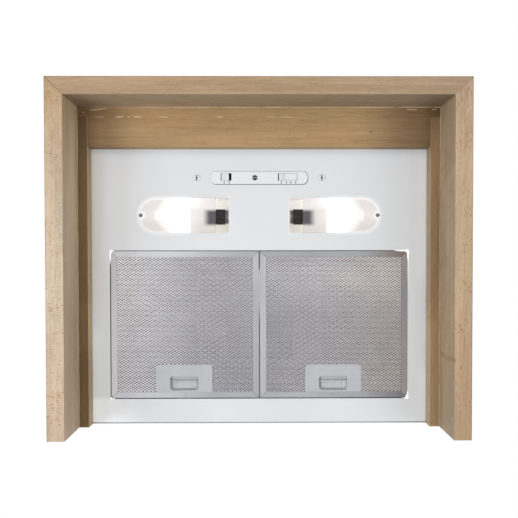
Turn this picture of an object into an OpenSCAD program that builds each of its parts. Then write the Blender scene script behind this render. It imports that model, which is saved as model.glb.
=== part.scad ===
/* [Wooden surround] */
// Overall width across the side boards
surround_w = 600; // [560:1:640]
// Depth from the wall to the front board's face
surround_d = 512; // [490:1:540]
// Thickness of the boards
board_t = 25; // [20:0.5:30]
// Height of the boards
board_h = 110; // [100:1:140]
// Height of the open recess below the battens
recess_h = 70; // [55:1:75]
// Width of a batten
batten_w = 15; // [13:0.5:18]
// Height of a batten
batten_h = 21; // [18:0.5:24]
// Depth of the filler board behind the front batten
filler_d = 45; // [40:0.5:50]

/* [Bottom panel] */
// Thickness of the sheet steel
sheet_t = 1; // [0.8:0.1:1.2]
// Gap between the panel's flanges and the boards
panel_gap = 0.5; // [0.3:0.1:1]
// Width of the filter opening
filter_open_w = 465; // [460:0.5:470]
// Distance from the filler board to the filter opening
filter_open_in = 156.6; // [152:0.1:160]
// Distance from the wall to the filter opening
filter_open_rear = 38.7; // [36:0.1:42]
// Width of the divider rail above the slot between the filters
divider_w = 22; // [16:1:30]
// Length of the divider rail's feet on the panel
divider_foot = 8; // [6:0.5:12]
// Gap between the divider rail and the filters below it
divider_gap = 0.6; // [0.4:0.1:2]
// Distance from the filter opening to the divider rail's legs
divider_in = 1; // [0.5:0.1:2]

/* [Filters] */
// Width of the slot between the two filters
filter_slot = 2.4; // [2:0.1:3]
// Gap round each filter in its opening
filter_gap = 1.1; // [1:0.1:1.4]
// Thickness of a filter
filter_t = 9; // [8.5:0.1:10]
// How far a filter stands below the panel
filter_proud = 0.5; // [0.2:0.1:0.9]
// Width of the rail along the filter's sides
rail_w = 10; // [8:0.1:12]
// Width of the front and rear rails
rail_end_w = 9.5; // [8:0.1:12]
// Wall thickness of the folded rail
rail_t = 1; // [0.8:0.1:1.2]
// Thickness of the expanded sheet
mesh_t = 0.8; // [0.5:0.1:1]
// Number of diamonds along a filter's width
mesh_nx = 7; // [6:1:8]
// Number of diamond rows along its depth
mesh_ny = 28; // [20:1:32]
// Width of the strand between the diamonds
strand_w = 2.4; // [1.6:0.1:3]
// Gap between the core and what holds it
core_gap = 0.2; // [0.1:0.05:0.4]
// Width of a front tab
tab_w = 20; // [14:1:26]
// Length of a front tab
tab_l = 6.5; // [5:0.1:8]
// Distance of each tab from the filter's middle
tab_x = 70; // [50:1:85]
// Gap between a front tab and the panel below it
tab_gap = 0.2; // [0.1:0.05:0.4]

/* [Latches] */
// Width of the latch plate
plate_w = 88; // [80:0.5:94]
// Depth of the latch plate
plate_d = 43; // [40:0.1:46]
// Sideways offset of the plate from the filter's middle
plate_off = -1.3; // [-3:0.1:3]
// Width of the finger recess
grip_w = 44; // [40:0.1:48]
// Depth of the finger recess
grip_d = 22; // [20:0.1:24]
// Distance from the rear rail to the recess
grip_rear = 2.8; // [2.5:0.1:4]
// Corner radius of the plate and its recess
plate_r = 5; // [3:0.1:6]
// Depth of the sloped lip in the recess
lip_d = 6.8; // [5:0.1:8]
// Height that the lip's slope rises
lip_h = 2; // [1:0.1:3]
// Wall thickness of the latch round the finger recess
pocket_wall = 1; // [0.8:0.1:1.2]
// Width of the latch beyond the recess at each side
latch_side = 2; // [1.5:0.1:2.5]
// Running gap round the latch
latch_gap = 0.3; // [0.2:0.05:0.45]
// Travel of the latch
latch_travel = 7; // [5.5:0.1:7.5]
// How far the bolt reaches over the panel
bolt_reach = 3.5; // [2.5:0.1:4]
// Width of the bolt
bolt_w = 19; // [14:0.5:24]
// Thickness of the bolt
bolt_t = 2.8; // [2:0.1:3.2]
// Radius of the spring, to the middle of its wire
spring_r = 2; // [1.6:0.1:2.1]
// Radius of the spring wire
spring_wire = 0.35; // [0.3:0.05:0.4]
// Number of turns of the spring
spring_turns = 7; // [4:1:9]
// Length of the spring with the latch at rest
spring_l = 14; // [12.5:0.1:15]

/* [Lamps] */
// Distance of a lamp opening's straight end from the middle
lamp_x0 = 47; // [44:0.5:50]
// Distance of a lamp opening's round tip from the middle
lamp_x1 = 188; // [180:0.5:196]
// Half the width of a lamp opening
lamp_r = 27.3; // [24:0.1:30]
// Distance from the filler board to a lamp's middle line
lamp_in = 102.1; // [98:0.1:106]
// How far the diffuser overlaps the panel's edge
lens_lap = 1.5; // [1:0.1:1.8]
// Thickness of the diffuser
lens_t = 2; // [1.5:0.1:3]
// Length of the opening that the diffuser leaves open
lens_gap = 21; // [17:0.5:25]
// Gap between the diffuser and the lamp housing
lens_side_gap = 0.5; // [0.3:0.1:0.8]
// Wall thickness of the lamp housing
lamp_wall = 1.2; // [1:0.1:2]
// Width of the flange round the lamp housing's foot
lamp_foot = 6; // [4:0.5:8]
// Inside height of the lamp housing
lamp_h = 59; // [57:0.5:70]
// Radius of the boss that takes the diffuser's screw
boss_r = 4; // [3:0.1:5]
// Thickness of the web that carries the boss
boss_web = 2; // [1.5:0.1:3]
// Height of the lamp's axis above the panel
lamp_axis_h = 38; // [36:0.5:39]
// Radius of the lampholder
holder_r = 12.5; // [11:0.1:14]
// Length of the lampholder's body
holder_l = 17; // [15:0.5:20]
// Length of the lampholder's neck and foot
holder_neck = 9.5; // [8:0.5:11]
// Radius of the lampholder's neck
neck_r = 8.5; // [7:0.1:10]
// Radius of the lampholder's foot
holder_foot_r = 10.5; // [9:0.1:12]
// Thickness of the lampholder's foot
holder_foot_t = 2.5; // [1.5:0.1:4]
// Thickness of the floor in the lampholder
holder_floor = 2; // [1:0.1:3]
// Radius of the bulb's cap
cap_r = 7; // [6.5:0.1:7.5]
// Gap between the cap and the lampholder
cap_gap = 0.15; // [0.1:0.05:0.3]
// Length of the bulb's cap
cap_l = 24; // [20:0.5:28]
// Largest radius of the bulb
bulb_r = 17.5; // [14:0.1:18]
// Length of the bulb's glass
bulb_l = 75; // [60:0.5:80]
// Distance of the diffuser screw from the tip
lens_screw_in = 3.7; // [3.5:0.1:5]

/* [Switch] */
// Distance from the filler board to the bezel's middle line
bezel_in = 44.2; // [40:0.1:48]
// Length of the bezel
bezel_l = 152; // [146:0.5:158]
// Width of the bezel
bezel_w = 20.8; // [19:0.1:23]
// Thickness of the bezel
bezel_t = 1.2; // [1:0.1:1.6]
// Width of both windows
window_w = 11.6; // [10:0.1:12]
// Distance from the bezel's middle line to the windows' middle line
window_off = 1.4; // [-1:0.1:1.5]
// Left edge of the light slider's window
light_win_x = -59.3; // [-62:0.1:-57]
// Length of the light slider's window
light_win_l = 16.2; // [15:0.1:18]
// Left edge of the fan slider's window
fan_win_x = 28.9; // [26:0.1:31]
// Length of the fan slider's window
fan_win_l = 30.9; // [29:0.1:32]
// How much wider a slider's shoe is than its window, at each side
shoe_lap = 1; // [0.6:0.1:1.5]
// Wall thickness of the channels in the switch body
channel_wall = 1.5; // [1:0.1:2.5]
// Thickness of the roof over the channels
channel_roof = 3; // [2:0.1:5]
// How far the bezel stands out past the panel's slot, at each side
bezel_lap = 1.5; // [1:0.1:2]
// Width of the carrier's edge round the switch body
carrier_edge = 4; // [3:0.1:6]
// Length of the carrier past each panel screw
carrier_end = 9; // [6:0.5:12]
// Gap between the light slider at rest and its window's left end
light_start = 0.8; // [0.6:0.1:0.9]
// Gap between the fan slider at rest and its window's left end
fan_start = 1.5; // [1.2:0.1:1.6]
// Side gap of a slider in its window and channel
slide_gap = 0.4; // [0.2:0.1:0.5]
// Width of the light slider's knob
light_knob_w = 11.2; // [10:0.1:11.4]
// Width of the fan slider's grip
fan_grip_w = 6.8; // [6:0.1:7]
// Travel of the light slider
light_travel = 3.9; // [3:0.1:4]
// Travel of the fan slider
fan_travel = 22.2; // [20:0.1:22.5]
// How far the knobs stand below the bezel
knob_proud = 1.2; // [0.8:0.1:1.3]
// Thickness of the shutter plate on the fan slider
shutter_t = 1; // [0.8:0.1:1.5]
// Thickness of the switch carrier
carrier_t = 2; // [1.5:0.1:3]
// Height of the switch body above the carrier
switch_h = 18; // [16:0.5:24]
// Distance of the bezel screw from the middle
bezel_screw_x = -6.8; // [-9:0.1:-5]
// Distance of each panel screw from the middle
panel_screw_x = 97; // [94:0.5:102]

/* [Canopy and chimney] */
// Thickness of the canopy sheet
canopy_t = 1.2; // [1:0.1:1.5]
// How far the canopy's foot stands in from the surround
canopy_in = 12; // [9:0.5:13]
// Width of the flange at the canopy's foot
flange_w = 26; // [24:0.5:30]
// Gap between the front flange and each side flange
flange_gap = 3; // [1:0.5:6]
// Height of the canopy
canopy_h = 290; // [280:1:340]
// Width of the chimney
chimney_w = 260; // [250:1:280]
// Depth of the chimney
chimney_d = 240; // [230:1:260]
// Height of the chimney above the canopy
chimney_h = 298.8; // [260:0.1:500]
// Height of the wall screw pattern's middle above the surround's foot
hang_h = 270; // [255:1:280]
// Distance between the two columns of wall screws
wall_screw_dx = 200; // [180:1:220]
// Distance between the two rows of wall screws
wall_screw_dz = 180; // [160:1:190]
// Radius of a wall screw hole
wall_screw_r = 4; // [3:0.1:4.5]
// Height of the chimney's wall bracket
bracket_h = 30; // [24:1:40]
// Depth of the bracket's ears
bracket_ear = 22; // [18:1:30]
// Distance from the bracket to the chimney's top
bracket_down = 6; // [4:1:30]
// Distance between the bracket's wall screw holes
bracket_screw_dx = 160; // [140:1:200]
// Radius of the bracket's wall screw holes
bracket_screw_r = 3; // [2.5:0.1:3.5]
// Gap between the bracket's ears and the chimney
bracket_gap = 0.3; // [0.2:0.1:0.5]

/* [Outlet] */
// Outer radius of the duct collar
collar_r = 60; // [58:0.5:62]
// Wall thickness of the collar
collar_t = 2; // [1.5:0.1:3]
// Height of the collar above its flange
collar_h = 40; // [36:0.5:60]
// Radius of the collar's flange
collar_flange_r = 72; // [70.5:0.5:74]
// Thickness of the collar's flange
collar_flange_t = 2; // [1.5:0.1:3]
// Distance of the clamp screws from the collar's middle
clamp_r = 66; // [65.5:0.1:67]
// Distance from the wall to the collar's middle
collar_y = 120; // [115:0.5:125]
// Height of the flap pin above the collar's flange
flap_h = 14.8; // [12:0.1:20]
// Radius of the flap pin
flap_pin_r = 2; // [1.5:0.1:2.5]
// How far the flap pin's ends lie inside the collar's outside
pin_in = 0.8; // [0.5:0.1:1.2]
// Running gap round the flap pin
pin_gap = 0.06; // [0.03:0.01:0.09]
// Thickness of a flap
flap_t = 1.2; // [1:0.1:2]
// Wall thickness of a flap's knuckles round the pin
knuckle_t = 1.4; // [1:0.1:2]
// Length of a flap's knuckle
knuckle_l = 12; // [8:0.5:14]
// Distance of the front flap's knuckles from the middle
front_knuckle_x = 40; // [38:0.5:44]
// Distance of the rear flap's knuckles from the middle
rear_knuckle_x = 24; // [10:0.5:24]
// Thickness of the stop ring under the flaps
stop_t = 1.5; // [1:0.1:2]
// Gap between the flaps at rest and the stop ring
stop_gap = 0.2; // [0.1:0.05:0.4]
// Gap round the flaps in the collar
flap_gap = 0.8; // [0.5:0.1:1.5]
// Width of the stop ring under the flaps
stop_w = 3; // [2:0.1:4]

/* [Blower] */
// Outer radius of the impeller
wheel_r = 70; // [62:0.5:72]
// Depth of the impeller's blades
blade_d = 12; // [9:0.5:13]
// How far a blade leans forward at its outer edge
blade_lean = 6; // [4:0.1:8]
// How far a blade leans forward at its middle
blade_bow = 2.2; // [1.5:0.1:3]
// How far a blade's edges lie inside the end rings
blade_in = 0.4; // [0.2:0.1:0.6]
// Number of blades
blade_n = 30; // [20:1:36]
// Width of the impeller
wheel_w = 90; // [80:1:96]
// Thickness of the impeller's rings, disc and blades
wheel_t = 1.5; // [1:0.1:2]
// Inside width of the fan housing
scroll_w = 108; // [104:1:116]
// Inside radius where the scroll starts
scroll_r0 = 76; // [75:0.5:80]
// Inside radius where the scroll ends
scroll_r1 = 115; // [112:0.5:118]
// Distance from the wheel's middle to the outlet's near wall
outlet_in = 26; // [24:0.5:28]
// Height of the wheel's middle above the surround's foot
wheel_h = 250; // [235:1:255]
// Thickness of the housing's sheet
scroll_t = 1.2; // [1:0.1:1.5]
// Radius of the inlets in the side plates
inlet_r = 57; // [50:0.5:57.5]
// Half the width of the housing's flange
scroll_flange = 72; // [71:0.5:74]
// Radius of the motor
motor_r = 33; // [28:0.5:38]
// Length of the motor
motor_l = 58; // [50:1:64]
// Distance from the hood's middle to the motor's near end
motor_in = 6; // [4:0.5:8]
// Height of each step at the motor's ends
motor_step = 3; // [2:0.5:4]
// Radius of the motor shaft
shaft_r = 4; // [3:0.1:5]
// Gap between the shaft and the impeller's hub
hub_fit = 0.02; // [0.01:0.01:0.03]
// Running gap round the motor shaft
shaft_gap = 0.05; // [0.03:0.01:0.09]
// Distance from the impeller's disc to the hood's middle, on the left
disc_in = 4; // [2:0.5:8]
// Width of the impeller's end rings
ring_w = 3; // [2:0.1:5]
// How far the shaft stands out past the hub and past the motor
shaft_out = 2; // [1:0.5:4]
// Radius of the impeller's hub
hub_r = 9; // [7:0.5:12]
// Length of the impeller's hub
hub_l = 18; // [14:0.5:24]
// Width of a motor bracket arm
arm_w = 10; // [7:0.5:14]
// Thickness of the motor bracket
bracket_t = 2; // [1.5:0.1:3]
// Length of the bracket's clamp on the motor
clamp_l = 8; // [6:0.5:10]
// Wall thickness of the bracket's clamp
clamp_t = 3; // [2:0.1:5]
// Width of the bracket's ring on the side plate
bracket_ring = 9; // [7:0.5:12]
// Radius of the capacitor
cap_can_r = 14; // [11:0.5:16]
// Length of the capacitor
cap_can_l = 50; // [40:1:60]
// Distance of the capacitor from the wheel's middle
cap_can_at = 78; // [74:0.5:80]
// Radius of the capacitor's stud
cap_stud_r = 3; // [2:0.1:4]

/* [Wiring parts] */
// Width of the junction box
jbox_w = 90; // [80:1:100]
// Height of the junction box
jbox_h = 60; // [50:1:70]
// Depth of the junction box with its lid
jbox_d = 44; // [38:1:50]
// Wall thickness of the junction box
jbox_t = 2; // [1.5:0.1:3]
// Distance from the canopy's side at its foot to the junction box's middle
jbox_in = 118; // [114:1:122]
// Height of the junction box's foot above the surround's foot
jbox_z = 132; // [126:1:136]
// Number of poles of the terminal block
poles = 6; // [4:1:7]
// Width of a pole
pole_w = 10; // [8:0.5:11]
// Depth of the terminal block
pole_d = 14; // [10:0.5:18]
// Height of the terminal block
pole_h = 18; // [14:0.5:24]
// Radius of a clamp screw hole in the terminal block
pole_hole_r = 2.2; // [1.5:0.1:3]
// Height of the gland's hexagon above the plate
gland_hex_h = 6; // [4:0.5:8]
// Height of the gland's nut below the plate
gland_nut_h = 5; // [4:0.5:6]
// How far the hexagon and the nut stand out past the thread
gland_lip = 3; // [2:0.1:4]
// Height of the gland above the plate
gland_up = 16; // [13:0.5:22]
// Length of the gland's thread below the plate
gland_down = 8; // [7:0.5:10]
// Radius of the gland's thread
gland_r = 8; // [6:0.5:9]
// Radius of the bore for the cord
gland_bore_r = 4; // [3:0.5:5]

/* [Screws] */
// Distance of the wood screws from the boards' inner faces
wood_edge = 4.5; // [4:0.1:5]
// Radius of a wood screw's head
wood_head_r = 3.5; // [3:0.1:3.8]
// Height of a wood screw's head
wood_head_h = 2; // [1.5:0.1:2.5]
// Radius of a wood screw's shank
wood_shank_r = 1.5; // [1.2:0.1:2]
// Length of a wood screw's shank
wood_shank_l = 20; // [14:0.5:30]
// Radius of a pan-head screw's head
pan_head_r = 3.5; // [3:0.1:4]
// Height of a pan-head screw's head
pan_head_h = 2.2; // [1.5:0.1:2.5]
// Radius of a pan-head screw's shank
pan_shank_r = 1.9; // [1.5:0.1:2]
// Length of a pan-head screw's shank
pan_shank_l = 10; // [8:0.5:12]
// Radius of a small cover screw's head
cover_head_r = 3.1; // [2.6:0.1:3.3]
// Height of a small cover screw's head
cover_head_h = 1.6; // [1.2:0.1:1.8]
// Radius of a small cover screw's shank
cover_shank_r = 1.45; // [1.2:0.05:1.6]
// Length of a small cover screw's shank
cover_shank_l = 12; // [9:0.5:14]
// Radius of the bezel screw's head
bezel_head_r = 4; // [3.5:0.1:4.3]
// Height of the bezel screw's head
bezel_head_h = 1.2; // [1:0.1:1.3]
// Length of the bezel screw's shank
bezel_shank_l = 13; // [10:0.5:14]
// Gap between a screw's shank and its hole
screw_gap = 0.15; // [0.1:0.05:0.3]

/* [Hidden] */
$fn = 48;

steel_white = [0.88, 0.89, 0.89];
beech_front = [0.72, 0.61, 0.49];
beech_side = [0.76, 0.66, 0.54];
beech_inner = [0.60, 0.50, 0.37];
alu_grey = [0.72, 0.73, 0.74];
mesh_grey = [0.62, 0.63, 0.64];
zinc_grey = [0.66, 0.68, 0.70];
black_part = [0.10, 0.10, 0.11];
frosted = [0.97, 0.97, 0.95];

half_w = surround_w / 2;
in_half = half_w - board_t;
in_front = surround_d - board_t;
panel_z = recess_h + batten_h;
panel_top = panel_z + sheet_t;
panel_half = in_half - panel_gap;
panel_front = in_front - panel_gap;
filler_rear = in_front - batten_w - filler_d;
filter_open_d = filler_rear - filter_open_in - filter_open_rear;
lamp_y = filler_rear - lamp_in;
bezel_y = filler_rear - bezel_in;

filter_w = (filter_open_w - filter_slot) / 2 - filter_gap;
filter_d = filter_open_d - 2 * filter_gap;
filter_xc = filter_slot / 2 + filter_w / 2;
filter_rear = filter_open_rear + filter_gap;
filter_front = filter_rear + filter_d;
filter_z = panel_z - filter_proud;
filter_top = filter_z + filter_t;
cavity_z = filter_z + rail_t;
cavity_top = filter_top - rail_t;
hole_front = filter_front - rail_end_w;
hole_rear = filter_rear + rail_end_w;

grip_y0 = hole_rear + grip_rear;
grip_y1 = grip_y0 + grip_d;
latch_z = cavity_z + latch_gap;
latch_top = cavity_top - latch_gap;
latch_half = grip_w / 2 + latch_side;
latch_y1 = grip_y1 + latch_side + latch_gap;
latch_y0 = filter_rear + rail_t + latch_gap;
bolt_z = panel_top + latch_gap;
bolt_tip = filter_open_rear - bolt_reach;
spring_y0 = latch_y1 + latch_gap;
spring_y1 = spring_y0 + spring_l;
spring_z = (cavity_z + mesh_t + cavity_top) / 2;

lamp_cx = lamp_x1 - lamp_r;
box_grow = lens_lap + lens_side_gap;
lamp_axis = panel_z + lamp_axis_h;
lamp_roof = panel_top + lamp_h;
holder_x0 = lamp_x0 - box_grow + holder_neck;
holder_x1 = holder_x0 + holder_l;
lens_x0 = lamp_x0 + lens_gap;
lens_screw_x = lamp_x1 - lens_screw_in;

bezel_z = panel_z - bezel_t;
window_y = bezel_y + window_off;
channel_half = window_w / 2 + shoe_lap;
channel_end = 2;
carrier_z = panel_top;
carrier_top = carrier_z + carrier_t;
switch_top = carrier_top + switch_h;
light_x0 = light_win_x + light_start;
fan_x0 = fan_win_x + fan_start;
shutter_x1 = fan_win_x + fan_win_l + fan_start;
light_chan_x0 = light_x0 - channel_end;
light_chan_x1 = light_x0 + light_knob_w + light_travel + channel_end;
fan_chan_x0 = fan_x0 - channel_end;
fan_chan_x1 = shutter_x1 + fan_travel + channel_end;
switch_x0 = light_chan_x0 - channel_wall;
switch_x1 = fan_chan_x1 + channel_wall;
carrier_half = panel_screw_x + carrier_end;
carrier_half_y = channel_half + slide_gap + channel_wall + carrier_edge;

canopy_z = board_h;
canopy_top_z = canopy_z + canopy_h;
foot_half = half_w - canopy_in;
foot_front = surround_d - canopy_in;
head_half = chimney_w / 2;
plate_z = canopy_top_z;
plate_top = plate_z + canopy_t;
chimney_top = plate_top + chimney_h;
chimney_in = head_half - canopy_t;
bracket_z = chimney_top - bracket_down - bracket_h;

collar_z = plate_top;
collar_in = collar_r - collar_t;
flap_z = collar_z + collar_flange_t + flap_h;
flap_r = collar_in - flap_gap;
knuckle_r = flap_pin_r + knuckle_t;
flap_edge = knuckle_r + flap_gap;

wheel_y = collar_y + (outlet_in + scroll_r1) / 2;
duct_top = plate_z - wheel_h;
side_x = scroll_w / 2 + scroll_t;
tongue_a = acos(outlet_in / scroll_r0);
disc_x = -disc_in;
motor_x0 = motor_in;
motor_x1 = motor_x0 + motor_l;

jbox_x = foot_half - jbox_in;

wood_at_front = [-200, 200];
wood_at_side = [90, 240, 390];
wood_x = in_half + wood_edge;
wood_y = in_front + wood_edge;
gland_x = -95;
gland_y = 35;

// Inside radius of the scroll at an angle, from its tongue round to its outlet
function scroll_at(a) = scroll_r0 + (scroll_r1 - scroll_r0) * (a - tongue_a) / (360 - tongue_a);
// Point of the scroll at an angle, moved outwards by a distance
function scroll_point(a, out) = (scroll_at(a) + out) * [cos(a), sin(a)];
// Points along an arc about a centre
function arc(c, r, a0, a1, n) =
  [for (i = [0:n]) c + r * [cos(a0 + (a1 - a0) * i / n), sin(a0 + (a1 - a0) * i / n)]];

// All pieces are drawn with the surround's foot at zero, then hung from the wall screws
module hung() {
  translate([0, 0, -hang_h]) children();
}

// A box from its lowest to its highest corner
module block(low, high) {
  translate(low) cube(high - low);
}

// A rectangle with four round corners, about its middle
module rounded(w, d, r) {
  polygon(concat(
    arc([w / 2 - r, d / 2 - r], r, 0, 90, 6),
    arc([r - w / 2, d / 2 - r], r, 90, 180, 6),
    arc([r - w / 2, r - d / 2], r, 180, 270, 6),
    arc([w / 2 - r, r - d / 2], r, 270, 360, 6)
  ));
}

// A slot with two round ends, about its middle
module stadium(l, w) {
  polygon(concat(
    arc([(l - w) / 2, 0], w / 2, -90, 90, 16),
    arc([(w - l) / 2, 0], w / 2, 90, 270, 16)
  ));
}

// The lamp opening's outline on the right, grown all round, from a chosen straight end
module lamp_outline(grow, x0) {
  r = lamp_r + grow;
  polygon(concat([[x0, r], [x0, -r]], arc([lamp_cx, 0], r, -90, 90, 16)));
}

// A rod along X from x0 to x1
module rod_x(r, x0, x1) {
  translate([x0, 0, 0]) rotate([0, 90, 0]) cylinder(r = r, h = x1 - x0);
}

// Places the right-hand shape as it is, or mirrored to the left
module on_side(side) {
  mirror([side < 0 ? 1 : 0, 0, 0]) children();
}

module side_board(side) {
  color(beech_side) hung() on_side(side) difference() {
    linear_extrude(board_h)
      polygon([[in_half, 0], [half_w, 0], [half_w, -surround_d], [in_half, -in_front]]);
    for (y = wood_at_side) wood_pilot(wood_x, y);
  }
}

module wood_pilot(x, y) {
  translate([x, -y, board_h - wood_shank_l])
    cylinder(r = wood_shank_r + screw_gap, h = wood_shank_l + 1, $fn = 24);
}

module front_board() {
  color(beech_front) hung() difference() {
    linear_extrude(board_h) polygon([
      [-half_w, -surround_d], [half_w, -surround_d], [in_half, -in_front], [-in_half, -in_front]
    ]);
    for (x = wood_at_front) wood_pilot(x, wood_y);
  }
}

module left_board() { side_board(-1); }
module right_board() { side_board(1); }

module front_batten() {
  color(beech_inner) hung()
    block([-in_half, -in_front, recess_h], [in_half, batten_w - in_front, panel_z]);
}

module side_batten(side) {
  color(beech_inner) hung() on_side(side)
    block([in_half - batten_w, batten_w - in_front, recess_h], [in_half, 0, panel_z]);
}

module left_batten() { side_batten(-1); }
module right_batten() { side_batten(1); }

module filler_board() {
  x = in_half - batten_w;
  color(beech_inner) hung() block([-x, batten_w - in_front, recess_h], [x, -filler_rear, panel_z]);
}

module wood_screw(x, y) {
  translate([x, -y, canopy_z + canopy_t]) {
    cylinder(r = wood_head_r, h = wood_head_h, $fn = 24);
    translate([0, 0, -wood_shank_l]) cylinder(r = wood_shank_r, h = wood_shank_l, $fn = 24);
  }
}

module wood_screws() {
  color(zinc_grey) hung() {
    for (x = wood_at_front) wood_screw(x, wood_y);
    for (y = wood_at_side, side = [-1, 1]) wood_screw(side * wood_x, y);
  }
}

// The panel is a tray: flat below, with flanges turned up all round
module bottom_panel() {
  color(steel_white) hung() difference() {
    block([-panel_half, -panel_front, panel_z], [panel_half, -canopy_t, board_h]);
    block([sheet_t - panel_half, sheet_t - panel_front, panel_top],
      [panel_half - sheet_t, -canopy_t - sheet_t, board_h + 1]);
    block([-filter_open_w / 2, -filter_open_rear - filter_open_d, panel_z - 1],
      [filter_open_w / 2, -filter_open_rear, panel_top + 1]);
    for (side = [-1, 1]) {
      on_side(side) translate([0, -lamp_y, panel_z - 1])
        linear_extrude(sheet_t + 2) lamp_outline(0, lamp_x0);
      translate([side * panel_screw_x, -bezel_y, panel_z - 1])
        cylinder(r = cover_shank_r + screw_gap, h = sheet_t + 2, $fn = 24);
    }
    translate([0, -bezel_y, panel_z - 1])
      linear_extrude(sheet_t + 2) stadium(bezel_l - 4 * bezel_lap, bezel_w - 2 * bezel_lap);
  }
}

// The rail stands on the panel at both ends of the filter opening
module divider_rail() {
  hw = divider_w / 2;
  top = filter_top + divider_gap;
  y0 = filter_open_rear + filter_open_d + divider_in;
  y1 = filter_open_rear - divider_in;
  color(steel_white) hung() {
    block([-hw, -y0 - sheet_t, top], [hw, sheet_t - y1, top + sheet_t]);
    block([-hw, -y0 - sheet_t, panel_top], [hw, -y0, top + sheet_t]);
    block([-hw, -y0 - divider_foot, panel_top], [hw, -y0, panel_top + sheet_t]);
    block([-hw, -y1, panel_top], [hw, sheet_t - y1, top + sheet_t]);
    block([-hw, -y1, panel_top], [hw, divider_foot - y1, panel_top + sheet_t]);
  }
}

// One filter is drawn about its own middle line, then moved to its side
module at_filter(side) {
  hung() translate([side * filter_xc, 0, 0]) children();
}

module filter_frame(side) {
  hw = filter_w / 2;
  color(alu_grey) at_filter(side) difference() {
    union() {
      block([-hw, -filter_front, filter_z], [hw, -filter_rear, filter_top]);
      for (x = [-tab_x, tab_x])
        block([x - tab_w / 2, -filter_front - tab_l, panel_top + tab_gap],
          [x + tab_w / 2, rail_t - filter_front, panel_top + tab_gap + rail_t]);
    }
    block([rail_t - hw, rail_t - filter_front, cavity_z],
      [hw - rail_t, -filter_rear - rail_t, cavity_top]);
    block([rail_w - hw, -hole_front, filter_z - 1], [hw - rail_w, -hole_rear, filter_top + 1]);
    block([plate_off - bolt_w / 2 - latch_gap, -filter_rear - 2 * rail_t, bolt_z - latch_gap],
      [plate_off + bolt_w / 2 + latch_gap, 1 - filter_rear, bolt_z + bolt_t + latch_gap]);
  }
}

// The space cut from the mesh and the core for the latch to move in
module latch_room(grow) {
  x = latch_half + latch_gap + grow;
  block([plate_off - x, -latch_y1 - latch_travel - 1, cavity_z - 1],
    [plate_off + x, 1 - filter_rear, cavity_top + 1]);
}

// Rows of wide diamonds, each second row half a step over, with strands left between them
module diamonds(w, d) {
  step_x = w / mesh_nx;
  step_y = d / (mesh_ny + 1);
  side_at = step_x / 2 * step_y / norm([step_x / 2, step_y]);
  open = 1 - strand_w / 2 / side_at;
  hx = open * step_x / 2;
  hy = open * step_y;
  for (j = [0:mesh_ny - 1], i = [0:mesh_nx - 1 - j % 2])
    translate([step_x * (i + 0.5 + (j % 2) / 2) - w / 2, step_y * (j + 1) - d / 2])
      polygon([[hx, 0], [0, hy], [-hx, 0], [0, -hy]]);
}

module filter_mesh(side) {
  hw = filter_w / 2 - rail_t - core_gap;
  y0 = -filter_front + rail_t + core_gap;
  y1 = -filter_rear - rail_t - core_gap;
  seen_w = filter_w - 2 * rail_w;
  seen_d = hole_front - hole_rear;
  color(mesh_grey) at_filter(side) difference() {
    translate([0, 0, cavity_z]) linear_extrude(mesh_t) difference() {
      polygon([[-hw, y0], [hw, y0], [hw, y1], [-hw, y1]]);
      translate([0, -(hole_front + hole_rear) / 2]) diamonds(seen_w, seen_d);
    }
    latch_room(0);
  }
}

module filter_core(side) {
  hw = filter_w / 2 - rail_t - core_gap;
  color(mesh_grey) at_filter(side) difference() {
    block([-hw, -filter_front + rail_t + core_gap, cavity_z + mesh_t],
      [hw, -filter_rear - rail_t - core_gap, cavity_top - core_gap]);
    latch_room(0);
    block([plate_off - spring_r - spring_wire - latch_gap, -spring_y1 - latch_gap, cavity_z],
      [plate_off + spring_r + spring_wire + latch_gap, -latch_y1, cavity_top + 1]);
  }
}

module latch_plate(side) {
  color(zinc_grey) at_filter(side)
    translate([plate_off, 0, filter_z]) linear_extrude(rail_t) difference() {
      polygon(concat(
        [[plate_w / 2, -hole_rear], [-plate_w / 2, -hole_rear]],
        arc([plate_r - plate_w / 2, plate_r - hole_rear - plate_d], plate_r, 180, 270, 6),
        arc([plate_w / 2 - plate_r, plate_r - hole_rear - plate_d], plate_r, 270, 360, 6)
      ));
      translate([0, -(grip_y0 + grip_y1) / 2]) rounded(grip_w, grip_d, plate_r);
    }
}

// The latch is a cup behind the recess, with a bolt that passes out through the rear rail
module latch(side) {
  color(zinc_grey) at_filter(side) translate([plate_off, 0, 0]) {
    difference() {
      block([-latch_half, -latch_y1, latch_z], [latch_half, -latch_y0, latch_top]);
      block([pocket_wall - grip_w / 2, lip_d - grip_y1, latch_z - 1],
        [grip_w / 2 - pocket_wall, -grip_y0 - pocket_wall, latch_top - pocket_wall]);
      translate([-grip_w / 2, 0, 0]) rotate([90, 0, 90]) linear_extrude(grip_w)
        polygon([
          [-grip_y1, latch_z - 1], [-grip_y1, latch_z],
          [lip_d - grip_y1 + 1, latch_z + lip_h], [lip_d - grip_y1 + 1, latch_z - 1]
        ]);
    }
    translate([-bolt_w / 2, 0, 0]) rotate([90, 0, 90]) linear_extrude(bolt_w) polygon([
      [-latch_y0 - 1, bolt_z], [-bolt_tip - 1, bolt_z], [-bolt_tip, bolt_z + 1],
      [-bolt_tip, bolt_z + bolt_t], [-latch_y0 - 1, bolt_z + bolt_t]
    ]);
  }
}

// Points of the spring's wire: a closed turn of rings along the helix
function spring_centre(t) = [
  spring_r * cos(360 * spring_turns * t), spring_wire + (spring_l - 2 * spring_wire) * t,
  spring_r * sin(360 * spring_turns * t)
];
function spring_ring(t) = [for (k = [0:5]) let (a = 360 * spring_turns * t, b = 60 * k)
  spring_centre(t) + spring_wire * [cos(b) * cos(a), sin(b), cos(b) * sin(a)]];

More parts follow.
